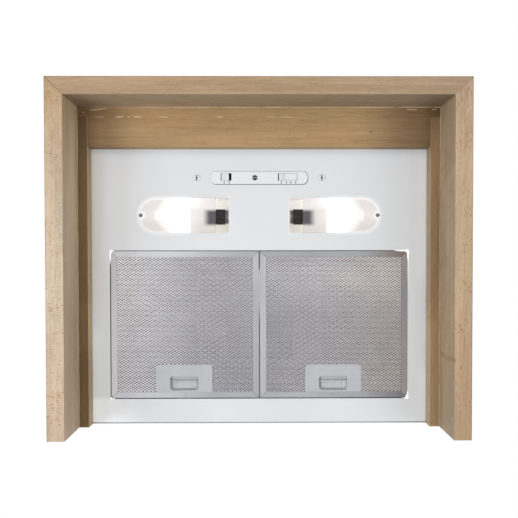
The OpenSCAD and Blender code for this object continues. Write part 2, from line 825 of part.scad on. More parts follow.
module latch_spring(side) {
  rings = 8 * spring_turns;
  points = [for (i = [0:rings]) each spring_ring(i / rings)];
  sides = [for (i = [0:rings - 1], k = [0:5]) let (a = 6 * i, n = (k + 1) % 6)
    each [[a + k, a + n, a + 6 + k], [a + n, a + 6 + n, a + 6 + k]]];
  ends = [for (k = [1:4]) each [[0, k + 1, k], [6 * rings, 6 * rings + k, 6 * rings + k + 1]]];
  color(zinc_grey) at_filter(side) translate([plate_off, -spring_y1, spring_z])
    polyhedron(points, concat(sides, ends), convexity = 10);
}

module left_filter_frame() { filter_frame(-1); }
module left_filter_mesh() { filter_mesh(-1); }
module left_filter_core() { filter_core(-1); }
module left_latch_plate() { latch_plate(-1); }
module left_latch() { latch(-1); }
module left_latch_spring() { latch_spring(-1); }
module right_filter_frame() { filter_frame(1); }
module right_filter_mesh() { filter_mesh(1); }
module right_filter_core() { filter_core(1); }
module right_latch_plate() { latch_plate(1); }
module right_latch() { latch(1); }
module right_latch_spring() { latch_spring(1); }

// Everything of a lamp is drawn on the right, about its middle line
module at_lamp(side) {
  hung() on_side(side) translate([0, -lamp_y, 0]) children();
}

module lamp_box(side) {
  color(steel_white) at_lamp(side) {
    difference() {
      union() {
        translate([0, 0, panel_top]) linear_extrude(lamp_h + lamp_wall)
          lamp_outline(box_grow + lamp_wall, lamp_x0 - box_grow - lamp_wall);
        translate([0, 0, panel_top]) linear_extrude(lamp_wall)
          lamp_outline(box_grow + lamp_foot, lamp_x0 - box_grow - lamp_foot);
      }
      translate([0, 0, panel_top - 1]) linear_extrude(lamp_h + 1)
        lamp_outline(box_grow, lamp_x0 - box_grow);
    }
    difference() {
      union() {
        translate([lens_screw_x, 0, panel_top + lens_t])
          cylinder(r = boss_r, h = lamp_h - lens_t, $fn = 24);
        block([lens_screw_x, -boss_web / 2, panel_top + lens_t],
          [lamp_x1 + box_grow + lamp_wall / 2, boss_web / 2, lamp_roof]);
      }
      translate([lens_screw_x, 0, panel_top])
        cylinder(r = cover_shank_r + screw_gap, h = cover_shank_l + 4, $fn = 24);
    }
  }
}

module diffuser(side) {
  color(frosted) at_lamp(side) difference() {
    translate([0, 0, panel_top]) linear_extrude(lens_t) lamp_outline(lens_lap, lens_x0);
    translate([lens_screw_x, 0, panel_top - 1])
      cylinder(r = cover_shank_r + screw_gap, h = lens_t + 2, $fn = 24);
  }
}

module lampholder(side) {
  color(black_part) at_lamp(side) translate([0, 0, lamp_axis]) difference() {
    union() {
      rod_x(holder_foot_r, lamp_x0 - box_grow, lamp_x0 - box_grow + holder_foot_t);
      rod_x(neck_r, lamp_x0 - box_grow, holder_x0 + 1);
      rod_x(holder_r, holder_x0, holder_x1);
    }
    rod_x(cap_r + cap_gap, holder_x0 + holder_floor, holder_x1 + 1);
  }
}

// The bulb is turned about its own axis: a screw cap, then a candle of glass
module bulb(side) {
  l = bulb_l / 75;
  r = bulb_r / 17.5;
  color(frosted) at_lamp(side)
    translate([holder_x0 + holder_floor + cap_gap, 0, lamp_axis]) rotate([0, 90, 0])
    rotate_extrude() {
      polygon([[0, 0], [cap_r, 0], [cap_r, cap_l], [0, cap_l]]);
      translate([0, cap_l]) polygon([
        [0, 0], [7.4 * r, 0], [9.5 * r, 3 * l], [13.2 * r, 10 * l], [16.2 * r, 18 * l],
        [17.5 * r, 27 * l], [16.7 * r, 38 * l], [14 * r, 50 * l], [10 * r, 61 * l],
        [6 * r, 69 * l], [2.4 * r, 74 * l], [0, 75 * l]
      ]);
    }
}

module left_lamp_box() { lamp_box(-1); }
module right_lamp_box() { lamp_box(1); }
module left_diffuser() { diffuser(-1); }
module right_diffuser() { diffuser(1); }
module left_lampholder() { lampholder(-1); }
module right_lampholder() { lampholder(1); }
module left_bulb() { bulb(-1); }
module right_bulb() { bulb(1); }

module slider_bezel() {
  hw = window_w / 2;
  color(steel_white) hung() difference() {
    translate([0, -bezel_y, bezel_z]) linear_extrude(bezel_t) stadium(bezel_l, bezel_w);
    block([light_win_x, -window_y - hw, bezel_z - 1],
      [light_win_x + light_win_l, hw - window_y, panel_z + 1]);
    block([fan_win_x, -window_y - hw, bezel_z - 1],
      [fan_win_x + fan_win_l, hw - window_y, panel_z + 1]);
    translate([bezel_screw_x, -bezel_y, bezel_z - 1])
      cylinder(r = cover_shank_r + screw_gap, h = bezel_t + 2, $fn = 24);
  }
}

module bezel_screw() {
  color(zinc_grey) hung() translate([bezel_screw_x, -bezel_y, bezel_z]) {
    translate([0, 0, -bezel_head_h]) cylinder(r = bezel_head_r, h = bezel_head_h);
    cylinder(r = cover_shank_r, h = bezel_shank_l, $fn = 24);
  }
}

module cover_screw() {
  translate([0, 0, -cover_head_h]) cylinder(r = cover_head_r, h = cover_head_h, $fn = 32);
  cylinder(r = cover_shank_r, h = cover_shank_l, $fn = 24);
}

module cover_screws() {
  color(zinc_grey) hung() for (side = [-1, 1]) {
    translate([side * panel_screw_x, -bezel_y, panel_z]) cover_screw();
    translate([side * lens_screw_x, -lamp_y, panel_top]) cover_screw();
  }
}

// The carrier lies on the panel, and the body on it has one channel for each slider
module switch_body() {
  hy = channel_half + slide_gap;
  body_y = hy + channel_wall;
  color(black_part) hung() difference() {
    union() {
      block([-carrier_half, -window_y - carrier_half_y, carrier_z],
        [carrier_half, carrier_half_y - window_y, carrier_top]);
      block([switch_x0, -window_y - body_y, carrier_top],
        [switch_x1, body_y - window_y, switch_top]);
    }
    block([light_chan_x0, -window_y - hy, carrier_z - 1],
      [light_chan_x1, hy - window_y, switch_top - channel_roof]);
    block([fan_chan_x0, -window_y - hy, carrier_z - 1],
      [fan_chan_x1, hy - window_y, switch_top - channel_roof]);
    translate([bezel_screw_x, -bezel_y, carrier_z - 1])
      cylinder(r = cover_shank_r + screw_gap, h = bezel_shank_l + 3, $fn = 24);
    for (side = [-1, 1]) translate([side * panel_screw_x, -bezel_y, carrier_z - 1])
      cylinder(r = cover_shank_r + screw_gap, h = carrier_t + 2, $fn = 24);
  }
}

// A slider's knob passes down through its window, below a wider shoe in the channel
module slider(x0, w) {
  ky = window_w / 2 - slide_gap;
  block([x0, -window_y - ky, bezel_z - knob_proud], [x0 + w, ky - window_y, panel_top + 2]);
  block([x0, -window_y - channel_half, panel_top + slide_gap],
    [x0 + w, channel_half - window_y, switch_top - channel_roof - slide_gap]);
}

module light_slider() {
  color(steel_white) hung() slider(light_x0, light_knob_w);
}

module fan_slider() {
  z = panel_top + slide_gap;
  color(steel_white) hung() {
    slider(fan_x0, fan_grip_w);
    block([fan_x0, -window_y - channel_half, z],
      [shutter_x1, channel_half - window_y, z + shutter_t]);
  }
}

module back_panel() {
  foot = foot_half - canopy_t;
  head = head_half - canopy_t;
  color(steel_white) hung() difference() {
    rotate([90, 0, 0]) linear_extrude(canopy_t) polygon([
      [-panel_half, panel_z], [panel_half, panel_z], [panel_half, board_h], [foot, board_h],
      [head, canopy_top_z], [-head, canopy_top_z], [-foot, board_h], [-panel_half, board_h]
    ]);
    for (x = [-0.5, 0.5], z = [-0.5, 0.5])
      translate([x * wall_screw_dx, 1, hang_h + z * wall_screw_dz])
        rotate([90, 0, 0]) cylinder(r = wall_screw_r, h = canopy_t + 2);
  }
}

// A sloped plate between an outer and an inner edge at the foot and at the head
module sloped(outer_foot, outer_head, inner_foot, inner_head) {
  p = concat(outer_foot, outer_head, inner_foot, inner_head);
  polyhedron(p, [
    [2, 3, 1, 0], [5, 7, 6, 4], [1, 5, 4, 0], [6, 7, 3, 2], [4, 6, 2, 0], [3, 7, 5, 1]
  ]);
}

module canopy_front() {
  z0 = canopy_z;
  z1 = canopy_top_z;
  t = canopy_t;
  color(steel_white) hung() difference() {
    union() {
      sloped(
        [[-foot_half, -foot_front, z0], [foot_half, -foot_front, z0]],
        [[-head_half, -chimney_d, z1], [head_half, -chimney_d, z1]],
        [[t - foot_half, t - foot_front, z0], [foot_half - t, t - foot_front, z0]],
        [[t - head_half, t - chimney_d, z1], [head_half - t, t - chimney_d, z1]]
      );
      block([flange_w - foot_half, t / 2 - foot_front, z0],
        [foot_half - flange_w, flange_w - foot_front, z0 + t]);
    }
    for (x = wood_at_front) flange_hole(x, wood_y);
  }
}

module flange_hole(x, y) {
  translate([x, -y, canopy_z - 1])
    cylinder(r = wood_shank_r + screw_gap, h = canopy_t + 2, $fn = 24);
}

module canopy_side(side) {
  z0 = canopy_z;
  z1 = canopy_top_z;
  t = canopy_t;
  color(steel_white) hung() on_side(side) difference() {
    union() {
      sloped(
        [[foot_half, -foot_front, z0], [foot_half, 0, z0]],
        [[head_half, -chimney_d, z1], [head_half, 0, z1]],
        [[foot_half - t, t - foot_front, z0], [foot_half - t, 0, z0]],
        [[head_half - t, t - chimney_d, z1], [head_half - t, 0, z1]]
      );
      block([foot_half - flange_w, flange_w + flange_gap - foot_front, z0],
        [foot_half - t / 2, -t, z0 + t]);
    }
    for (y = wood_at_side) flange_hole(wood_x, y);
  }
}

module canopy_left() { canopy_side(-1); }
module canopy_right() { canopy_side(1); }

// The four screws that clamp the collar and the fan housing to the top plate
module at_clamps() {
  for (a = [0:90:270])
    translate([clamp_r * cos(a), clamp_r * sin(a) - collar_y, 0]) children();
}

module clamp_holes(z0, z1) {
  at_clamps() translate([0, 0, z0])
    cylinder(r = pan_shank_r + screw_gap, h = z1 - z0, $fn = 24);
}

module top_plate() {
  color(steel_white) hung() difference() {
    block([-head_half, -chimney_d, plate_z], [head_half, 0, plate_top]);
    translate([0, -collar_y, plate_z - 1]) cylinder(r = collar_in, h = canopy_t + 2);
    translate([gland_x, -gland_y, plate_z - 1])
      cylinder(r = gland_r + screw_gap, h = canopy_t + 2);
    clamp_holes(plate_z - 1, plate_top + 1);
  }
}

module chimney_screw_hole() {
  translate([-half_w, -bracket_ear / 2, bracket_z + bracket_h / 2])
    rod_x(pan_shank_r + screw_gap, 0, surround_w);
}

module chimney_cover() {
  color(steel_white) hung() difference() {
    block([-head_half, -chimney_d, plate_top], [head_half, 0, chimney_top]);
    block([-chimney_in, canopy_t - chimney_d, plate_top - 1], [chimney_in, 1, chimney_top + 1]);
    chimney_screw_hole();
  }
}

module chimney_bracket() {
  x = chimney_in - bracket_gap;
  color(zinc_grey) hung() difference() {
    block([-x, -bracket_ear, bracket_z], [x, 0, bracket_z + bracket_h]);
    block([canopy_t - x, -bracket_ear - 1, bracket_z - 1],
      [x - canopy_t, -canopy_t, bracket_z + bracket_h + 1]);
    chimney_screw_hole();
    for (x = [-0.5, 0.5]) translate([x * bracket_screw_dx, 1, bracket_z + bracket_h / 2])
      rotate([90, 0, 0]) cylinder(r = bracket_screw_r, h = canopy_t + 2);
  }
}

module pan_screw() {
  cylinder(r = pan_head_r, h = pan_head_h, $fn = 32);
  translate([0, 0, -pan_shank_l]) cylinder(r = pan_shank_r, h = pan_shank_l, $fn = 24);
}

module case_screws() {
  color(zinc_grey) hung() {
    at_clamps() translate([0, 0, collar_z + collar_flange_t]) pan_screw();
    for (side = [-1, 1]) on_side(side)
      translate([head_half, -bracket_ear / 2, bracket_z + bracket_h / 2])
      rotate([0, 90, 0]) pan_screw();
  }
}

// The collar stands over the top plate's hole, with a stop ring under the flaps
module outlet_collar() {
  ring_top = flap_z - flap_t / 2 - stop_gap;
  color(black_part) hung() translate([0, -collar_y, 0]) difference() {
    union() {
      translate([0, 0, collar_z]) cylinder(r = collar_r, h = collar_flange_t + collar_h);
      translate([0, 0, collar_z]) cylinder(r = collar_flange_r, h = collar_flange_t);
    }
    translate([0, 0, collar_z - 1]) cylinder(r = collar_in - stop_w, h = collar_h + 5);
    translate([0, 0, collar_z - 1]) cylinder(r = collar_in, h = ring_top - stop_t - collar_z + 1);
    translate([0, 0, ring_top]) cylinder(r = collar_in, h = collar_h);
    block([-collar_in, -knuckle_r, collar_z], [collar_in, knuckle_r, ring_top + 1]);
    translate([0, 0, flap_z]) rod_x(flap_pin_r + pin_gap, -collar_r - 1, collar_r + 1);
    translate([0, collar_y, 0]) clamp_holes(collar_z - 1, collar_z + collar_flange_t + 1);
  }
}

module flap_pin() {
  l = collar_r - pin_in;
  color(zinc_grey) hung() translate([0, -collar_y, flap_z]) rod_x(flap_pin_r, -l, l);
}

// A half disc with two knuckles on the pin, drawn for the front
module flap(knuckle_x) {
  difference() {
    union() {
      intersection() {
        translate([0, 0, -flap_t / 2]) cylinder(r = flap_r, h = flap_t);
        block([-flap_r, -flap_r - 1, -flap_t], [flap_r, -flap_edge, flap_t]);
      }
      for (x = [-knuckle_x, knuckle_x]) {
        translate([x - knuckle_l / 2, 0, 0]) rod_x(knuckle_r, 0, knuckle_l);
        block([x - knuckle_l / 2, -flap_edge - 2, -flap_t / 2],
          [x + knuckle_l / 2, -flap_pin_r, flap_t / 2]);
      }
    }
    rod_x(flap_pin_r + pin_gap, -flap_r, flap_r);
  }
}

module front_flap() {
  color(black_part) hung() translate([0, -collar_y, flap_z]) flap(front_knuckle_x);
}

module rear_flap() {
  color(black_part) hung() translate([0, -collar_y, flap_z])
    mirror([0, 1, 0]) flap(rear_knuckle_x);
}

// The blower is drawn as seen along X, with depth and height as its two axes
module at_wheel() {
  hung() translate([0, -wheel_y, wheel_h]) children();
}

module seen_along_x(x0, x1) {
  translate([x0, 0, 0]) rotate([90, 0, 90]) linear_extrude(x1 - x0) children();
}

function scroll_path(out, a0, n) = [for (i = [0:n]) scroll_point(a0 + (360 - a0) * i / n, out)];

module blower_wall() {
  t = scroll_t;
  inner = concat([[outlet_in, duct_top]], scroll_path(0, tongue_a, 30),
    [[scroll_r1, duct_top]]);
  outer = concat([[outlet_in - t, duct_top]], scroll_path(t, tongue_a + 2, 30),
    [[scroll_r1 + t, duct_top]]);
  m = len(outer) - 1;
  color(zinc_grey) at_wheel() {
    seen_along_x(-scroll_w / 2, scroll_w / 2)
      polygon(concat(inner, [for (i = [0:m]) outer[m - i]]));
    difference() {
      block([-scroll_flange, wheel_y - collar_y - scroll_flange, duct_top - t],
        [scroll_flange, wheel_y - collar_y + scroll_flange, duct_top]);
      block([-side_x, outlet_in - t / 2, duct_top - t - 1],
        [side_x, scroll_r1 + t / 2, duct_top + 1]);
      translate([0, wheel_y, 0]) clamp_holes(duct_top - t - 1, duct_top + 1);
    }
  }
}

module blower_side(side) {
  t = scroll_t;
  color(zinc_grey) at_wheel() difference() {
    seen_along_x(side < 0 ? -side_x : scroll_w / 2, side < 0 ? -scroll_w / 2 : side_x)
      difference() {
        polygon(concat([[outlet_in - t, duct_top - t]], scroll_path(t, tongue_a + 2, 30),
          [[scroll_r1 + t, duct_top - t]]));
        circle(r = inlet_r);
      }
    if (side < 0) at_can() rod_x(cap_stud_r + screw_gap, -side_x - 1, side_x);
  }
}

module blower_left_side() { blower_side(-1); }
module blower_right_side() { blower_side(1); }

// Disc and hub in the middle, blades to both sides, and a ring at each end
module impeller() {
  hw = wheel_w / 2;
  ri = wheel_r - blade_d;
  color(black_part) at_wheel() difference() {
    union() {
      rod_x(wheel_r, disc_x - wheel_t, disc_x);
      rod_x(hub_r, disc_x - hub_l, disc_x);
      for (x = [-hw, hw - ring_w]) difference() {
        rod_x(wheel_r, x, x + ring_w);
        rod_x(ri, x - 1, x + ring_w + 1);
      }
      for (i = [0:blade_n - 1]) rotate([360 * i / blade_n, 0, 0]) seen_along_x(-hw, hw)
        polygon([
          [ri + blade_in, 0], [ri + blade_d / 2, blade_bow], [wheel_r - blade_in, blade_lean],
          [wheel_r - blade_in, blade_lean - wheel_t], [ri + blade_d / 2, blade_bow - wheel_t],
          [ri + blade_in, -wheel_t]
        ]);
    }
    rod_x(shaft_r + hub_fit, disc_x - hub_l - 1, disc_x + 1);
  }
}

module motor_shaft() {
  color(zinc_grey) at_wheel() rod_x(shaft_r, disc_x - hub_l - shaft_out, motor_x1 + shaft_out);
}

// A plain can with a stepped boss at each end
module motor() {
  color(zinc_grey) at_wheel() difference() {
    union() {
      rod_x(motor_r, motor_x0 + 2 * motor_step, motor_x1 - 2 * motor_step);
      rod_x((motor_r + hub_r) / 2, motor_x0 + motor_step, motor_x1 - motor_step);
      rod_x(hub_r, motor_x0, motor_x1);
    }
    rod_x(shaft_r + shaft_gap, motor_x0 - 1, motor_x1 + 1);
  }
}

// Three arms from the motor's clamp ring to a ring on the right side plate
module motor_bracket() {
  x1 = side_x + bracket_t;
  color(zinc_grey) at_wheel() difference() {
    union() {
      difference() {
        rod_x(inlet_r + bracket_ring, side_x, x1);
        rod_x(inlet_r, side_x - 1, x1 + 1);
      }
      rod_x(motor_r + clamp_t, x1 - bracket_t - clamp_l, x1);
      for (a = [0:120:240]) rotate([a, 0, 0])
        block([side_x, -arm_w / 2, motor_r], [x1, arm_w / 2, inlet_r + bracket_ring / 2]);
    }
    rod_x(motor_r + screw_gap, x1 - bracket_t - clamp_l - 1, x1 + 1);
  }
}

module at_can() {
  rotate([45, 0, 0]) translate([0, -cap_can_at, 0]) children();
}

module capacitor() {
  color(steel_white) at_wheel() at_can() {
    rod_x(cap_can_r, -side_x - cap_can_l, -side_x);
    rod_x(cap_stud_r, -side_x - 1, -scroll_w / 2);
  }
}

module junction_box() {
  hw = jbox_w / 2;
  color(black_part) hung() translate([-jbox_x, -canopy_t, jbox_z]) difference() {
    block([-hw, jbox_t - jbox_d, 0], [hw, 0, jbox_h]);
    block([jbox_t - hw, -jbox_d, jbox_t], [hw - jbox_t, -jbox_t, jbox_h - jbox_t]);
  }
}

module junction_lid() {
  hw = jbox_w / 2;
  color(black_part) hung()
    translate([-jbox_x, -canopy_t, jbox_z]) block([-hw, -jbox_d, 0], [hw, jbox_t - jbox_d, jbox_h]);
}

// A row of poles, each with two clamp screw holes
module terminal_block() {
  hw = poles * pole_w / 2;
  color(frosted) hung() translate([-jbox_x, -canopy_t - jbox_t, jbox_z + jbox_h / 2])
    difference() {
      block([-hw, -pole_d, -pole_h / 2], [hw, 0, pole_h / 2]);
      for (i = [0:poles - 1], z = [-pole_h, pole_h])
        translate([pole_w * (i + 0.5) - hw, -pole_d - 1, z / 4])
        rotate([-90, 0, 0]) cylinder(r = pole_hole_r, h = pole_d / 2 + 1, $fn = 16);
    }
}

module cable_gland() {
  color(black_part) hung() translate([gland_x, -gland_y, 0]) difference() {
    union() {
      translate([0, 0, plate_z - gland_down])
        cylinder(r = gland_r, h = gland_down + canopy_t + gland_up);
      translate([0, 0, plate_top]) cylinder(r = gland_r + gland_lip, h = gland_hex_h, $fn = 6);
      translate([0, 0, plate_z - gland_nut_h])
        cylinder(r = gland_r + gland_lip, h = gland_nut_h, $fn = 6);
      translate([0, 0, plate_top + gland_up / 2])
        cylinder(r = gland_r + gland_lip / 2, h = gland_up / 2);
    }
    translate([0, 0, plate_z - gland_down - 1])
      cylinder(r = gland_bore_r, h = gland_down + canopy_t + gland_up + 2);
  }
}

front_board();
left_board();
right_board();
front_batten();
left_batten();
right_batten();
filler_board();
wood_screws();
bottom_panel();
divider_rail();
back_panel();
top_plate();
canopy_front();
canopy_left();
canopy_right();
chimney_cover();
chimney_bracket();
case_screws();
cover_screws();
slider_bezel();
bezel_screw();
switch_body();
light_slider();
fan_slider();
left_lamp_box();
right_lamp_box();
left_diffuser();
right_diffuser();
left_lampholder();
right_lampholder();
left_bulb();
right_bulb();
left_filter_frame();
left_filter_mesh();
left_filter_core();
left_latch_plate();
left_latch();
left_latch_spring();
right_filter_frame();
right_filter_mesh();
right_filter_core();
right_latch_plate();
right_latch();
right_latch_spring();
outlet_collar();
flap_pin();
front_flap();
rear_flap();
blower_wall();
blower_left_side();
blower_right_side();
impeller();
motor_shaft();
motor();
motor_bracket();
capacitor();
junction_box();
junction_lid();
terminal_block();
cable_gland();
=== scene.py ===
"""A wall range hood with a beech surround, seen from below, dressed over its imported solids."""

import math
import random

import bmesh
import bpy
from bpy.props import FloatProperty, FloatVectorProperty, IntProperty, PointerProperty
from mathutils import Matrix, Vector
from mathutils.geometry import tessellate_polygon


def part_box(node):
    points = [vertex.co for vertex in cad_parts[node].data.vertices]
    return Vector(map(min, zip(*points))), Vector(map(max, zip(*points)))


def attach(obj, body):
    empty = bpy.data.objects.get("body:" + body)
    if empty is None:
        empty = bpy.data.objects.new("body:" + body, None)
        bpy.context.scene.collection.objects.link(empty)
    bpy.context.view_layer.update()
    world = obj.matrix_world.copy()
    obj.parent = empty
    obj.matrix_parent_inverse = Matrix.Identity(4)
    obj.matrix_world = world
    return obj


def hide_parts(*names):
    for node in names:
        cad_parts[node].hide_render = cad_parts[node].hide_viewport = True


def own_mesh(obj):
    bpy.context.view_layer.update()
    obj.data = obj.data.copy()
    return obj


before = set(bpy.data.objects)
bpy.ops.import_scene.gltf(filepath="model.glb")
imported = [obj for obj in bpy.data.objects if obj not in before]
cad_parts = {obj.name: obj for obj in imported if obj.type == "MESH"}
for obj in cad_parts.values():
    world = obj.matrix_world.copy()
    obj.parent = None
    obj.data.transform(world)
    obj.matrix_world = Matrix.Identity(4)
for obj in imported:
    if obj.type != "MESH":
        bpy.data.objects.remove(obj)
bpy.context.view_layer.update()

bl_info = {
    "name": "Range Hood Looks",
    "version": (1, 0, 0),
    "blender": (4, 5, 0),
    "location": "3D View > Sidebar > Range Hood",
    "description": "Finishes, nets, rails, lamps and sliders of a range hood with a beech surround",
    "category": "Object",
}

MM = 0.001
SIDES = {"left": -1, "right": 1}


def paint(r, g, b):
    """Linear colour of a screen colour given from 0 to 255."""
    return tuple(((c / 255 + 0.055) / 1.055) ** 2.4 for c in (r, g, b))


def shade(tone, factor):
    """A tone made darker or lighter."""
    return tuple(c * factor for c in tone)


def mm(*lengths):
    """Lengths given in millimetres."""
    return [length * MM for length in lengths]


def looks(group):
    """The settings of one group."""
    return getattr(bpy.context.scene, f"hood_{group}")


def low(node):
    """Lowest corner of a node of the frame."""
    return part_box(node)[0]


def high(node):
    """Highest corner of a node of the frame."""
    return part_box(node)[1]


def middle(node):
    """Middle of a node of the frame."""
    return (low(node) + high(node)) / 2


def solids(node):
    """(lowest, highest) corners of each separate solid in a node of the frame, sorted by place."""
    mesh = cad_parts[node].data
    group = list(range(len(mesh.vertices)))

    def top(i):
        while group[i] != i:
            group[i] = group[group[i]]
            i = group[i]
        return i

    first = {}
    for v in mesh.vertices:
        key = tuple(round(c * 1e5) for c in v.co)
        group[top(v.index)] = top(first.setdefault(key, v.index))
    for edge in mesh.edges:
        group[top(edge.vertices[0])] = top(edge.vertices[1])
    found = {}
    for v in mesh.vertices:
        found.setdefault(top(v.index), []).append(v.co)
    boxes = [tuple(Vector([pick(p[k] for p in points) for k in range(3)]) for pick in (min, max))
             for points in found.values()]
    return sorted(boxes, key=lambda b: tuple(round(c, 4) for c in b[0]))


# Places that several pieces share, taken from the frame
PANEL_Z = low("bottom_panel").z
LEDGE_Z = low("filler_board").z
FOOT_Z = low("front_board").z
FILLER_REAR = high("filler_board").y
BATTEN_REAR = low("filler_board").y
BOARD_REAR = low("front_batten").y
FRONT_Y = low("front_board").y
BATTEN_X = high("left_batten").x
HALF_W = high("front_board").x
RAIL_FRONT = low("left_filter_mesh").y - 1.2 * MM
FILTER_X = high("right_filter_frame").x
FILTER_REAR = high("left_filter_frame").y
LAMP_Y = middle("left_lampholder").y
LAMP_HALF = high("right_diffuser").y - LAMP_Y
LAMP_END = high("right_diffuser").x - LAMP_HALF
# Middles of the filter opening and of the strip with the lamps, from front to rear
FILTER_MID = -0.155
LAMPS_MID = -0.335
# From the front to the rear of a net, and from the middle to its outer side
NET_DEPTH = (-0.262, -0.045)
NET_SIDE = 0.225


def colour_prop(name, about, *screen):
    """A colour setting, with its default as a screen colour."""
    return FloatVectorProperty(
        name=name, description=f"Colour of {about}", subtype="COLOR", default=paint(*screen))


def size_prop(name, about, default, most, least=0.0):
    """A length setting, given in millimetres."""
    return FloatProperty(name=name, description=about, subtype="DISTANCE",
                         default=default * MM, min=least * MM, max=most * MM)


def angle_prop(name, about, default, most, least=0.0):
    """An angle setting, given in degrees."""
    default, least, most = (math.radians(a) for a in (default, least, most))
    return FloatProperty(
        name=name, description=about, subtype="ANGLE", default=default, min=least, max=most)


def number_prop(name, about, default, most, least=0.0):
    """A plain number."""
    return FloatProperty(name=name, description=about, default=default, min=least, max=most)


def power_prop(name, about, default):
    """The power of a lamp of the stage."""
    return FloatProperty(name=name, description=f"Power of the {about}", subtype="POWER",
                         unit="POWER", default=default, min=0.0)


class WoodLooks(bpy.types.PropertyGroup):
    front_tone: colour_prop("Front board", "the front board", 190, 161, 130)
    left_tone: colour_prop("Left board", "the left board", 215, 197, 173)
    right_tone: colour_prop("Right board", "the right board", 202, 176, 146)
    left_batten_tone: colour_prop("Left batten", "the left batten's side", 186, 162, 127)
    right_batten_tone: colour_prop("Right batten", "the right batten's side", 176, 156, 126)
    filler_tone: colour_prop("Filler board", "the filler board and front batten", 177, 146, 103)
    glue_tone: colour_prop("Glue", "the dried glue in the joints", 214, 193, 166)
    edge: size_prop("Board edge", "Radius of the sanded edges", 0.5, 3)


class SheetLooks(bpy.types.PropertyGroup):
    white_tone: colour_prop("White paint", "the painted steel", 222, 225, 228)
    zinc_tone: colour_prop("Zinc", "the galvanised steel", 178, 182, 186)
    bend: size_prop("Bend radius", "Radius of the sheet's bends", 0.8, 3)
    weld: size_prop("Weld radius", "Radius of the ground weld on the canopy's corners", 1.1, 3, 0.2)


class FilterLooks(bpy.types.PropertyGroup):
    long_way: size_prop("Long way", "Pitch of the diamonds across the hood", 6.35, 20, 3)
    short_way: size_prop("Short way", "Pitch of the diamonds from front to rear", 3.88, 12, 2)
    skew: angle_prop("Skew", "How far a net leans, as it was never cut quite square", 1.2, 2)
    strand_w: size_prop("Strand width", "Width of a strand of the net", 1.24, 2, 0.3)
    strand_t: size_prop("Strand thickness", "Thickness of a strand of the net", 0.35, 1, 0.1)
    strand_tilt: angle_prop(
        "Strand tilt", "How far the strands stand out of the sheet", -12, 80, -80)
    strand_lean: angle_prop(
        "Strand lean", "How far the strands' section leans within the sheet", 24, 40)
    back_ratio: number_prop("Back nets", "How much coarser the nets behind are", 1.9, 3, 1)
    back_width: number_prop(
        "Back strands", "How much wider the strands behind are", 2.0, 2.5, 0.5)
    mitre_gap: size_prop("Mitre gap", "Gap between two rails at a corner", 0.8, 1)
    corner: size_prop(
        "Clipped corner", "How far the outer corners of a frame are clipped", 3.4, 8)
    rail_tone: colour_prop("Rails", "the rails", 208, 209, 212)
    net_tone: colour_prop("Front net", "the net in front", 250, 248, 249)
    # The nets behind are painted near black, as shade inside the filter
    back_net_shade_tone: colour_prop("Back nets", "the nets behind", 14, 14, 15)
    plate_tone: colour_prop("Latch plates", "the latch plates", 180, 182, 186)


class LampLooks(bpy.types.PropertyGroup):
    frost_tone: colour_prop("Diffuser", "the frosted cover", 232, 228, 226)
    glow: number_prop("Glow", "Strength of the lit part of a cover", 1.0, 10)
    bulb_light: number_prop("Bulb", "Strength of a bulb's glass", 2.0, 50)
    ribs: IntProperty(name="Holder ribs", description="Number of ribs round a lampholder",
                      default=16, min=6, max=40)


class SwitchLooks(bpy.types.PropertyGroup):
    bezel_tone: colour_prop("Bezel", "the bezel and its sliders", 228, 231, 233)
    seam: size_prop("Bezel seam", "Width of the dark seam along the bezel", 0.7, 2)
    ribs: IntProperty(
        name="Ribs", description="Number of ribs on a slider", default=4, min=1, max=9)


class StageLooks(bpy.types.PropertyGroup):
    floor_tone: colour_prop("Floor", "the floor", 236, 236, 236)
    floor_drop: FloatProperty(name="Floor below", description="Height of the floor in the frame",
                              subtype="DISTANCE", default=-1.6, max=-0.5)
    sky: number_prop("Sky", "Strength of the soft light from all round", 0.30, 5)
    left_power: power_prop("Left light", "lamp at the lower left", 6.2)
    right_power: power_prop("Right light", "lamp at the lower right", 4.0)
    fill_power: power_prop("Fill light", "wide lamp below", 9.7)
    top_power: power_prop("Top light", "wide lamp above", 20.0)
    front_power: power_prop("Front light", "lamp in front", 13.0)


class Value:
    """A number that the nodes of a finish work out, which takes the usual arithmetic."""

    def __init__(self, maker, socket):
        self.maker = maker
        self.socket = socket

    def calc(self, operation, other=0.0):
        return self.maker.calc(operation, self, other)

    def __add__(self, other):
        return self.calc("ADD", other)

    def __sub__(self, other):
        return self.calc("SUBTRACT", other)

    def __rsub__(self, other):
        return self.maker.calc("SUBTRACT", other, self)

    def __mul__(self, other):
        return self.calc("MULTIPLY", other)

    def __gt__(self, other):
        return self.calc("GREATER_THAN", other)

    def __lt__(self, other):
        return self.calc("LESS_THAN", other)

    def __abs__(self):
        return self.calc("ABSOLUTE")

    def most(self, other):
        """The larger of this and another."""
        return self.calc("MAXIMUM", other)

    def grade(self, low_at, high_at, start=0.0, end=1.0):
        """Runs softly from the start to the end while this goes from low to high."""
        return Value(self.maker, self.maker.node("MapRange", {
            "Value": self, "From Min": low_at, "From Max": high_at, "To Min": start, "To Max": end,
        }, interpolation_type="SMOOTHSTEP").outputs[0])

    def fade(self, low_at, high_at):
        """Runs softly from one to nothing."""
        return self.grade(low_at, high_at, 1.0, 0.0)


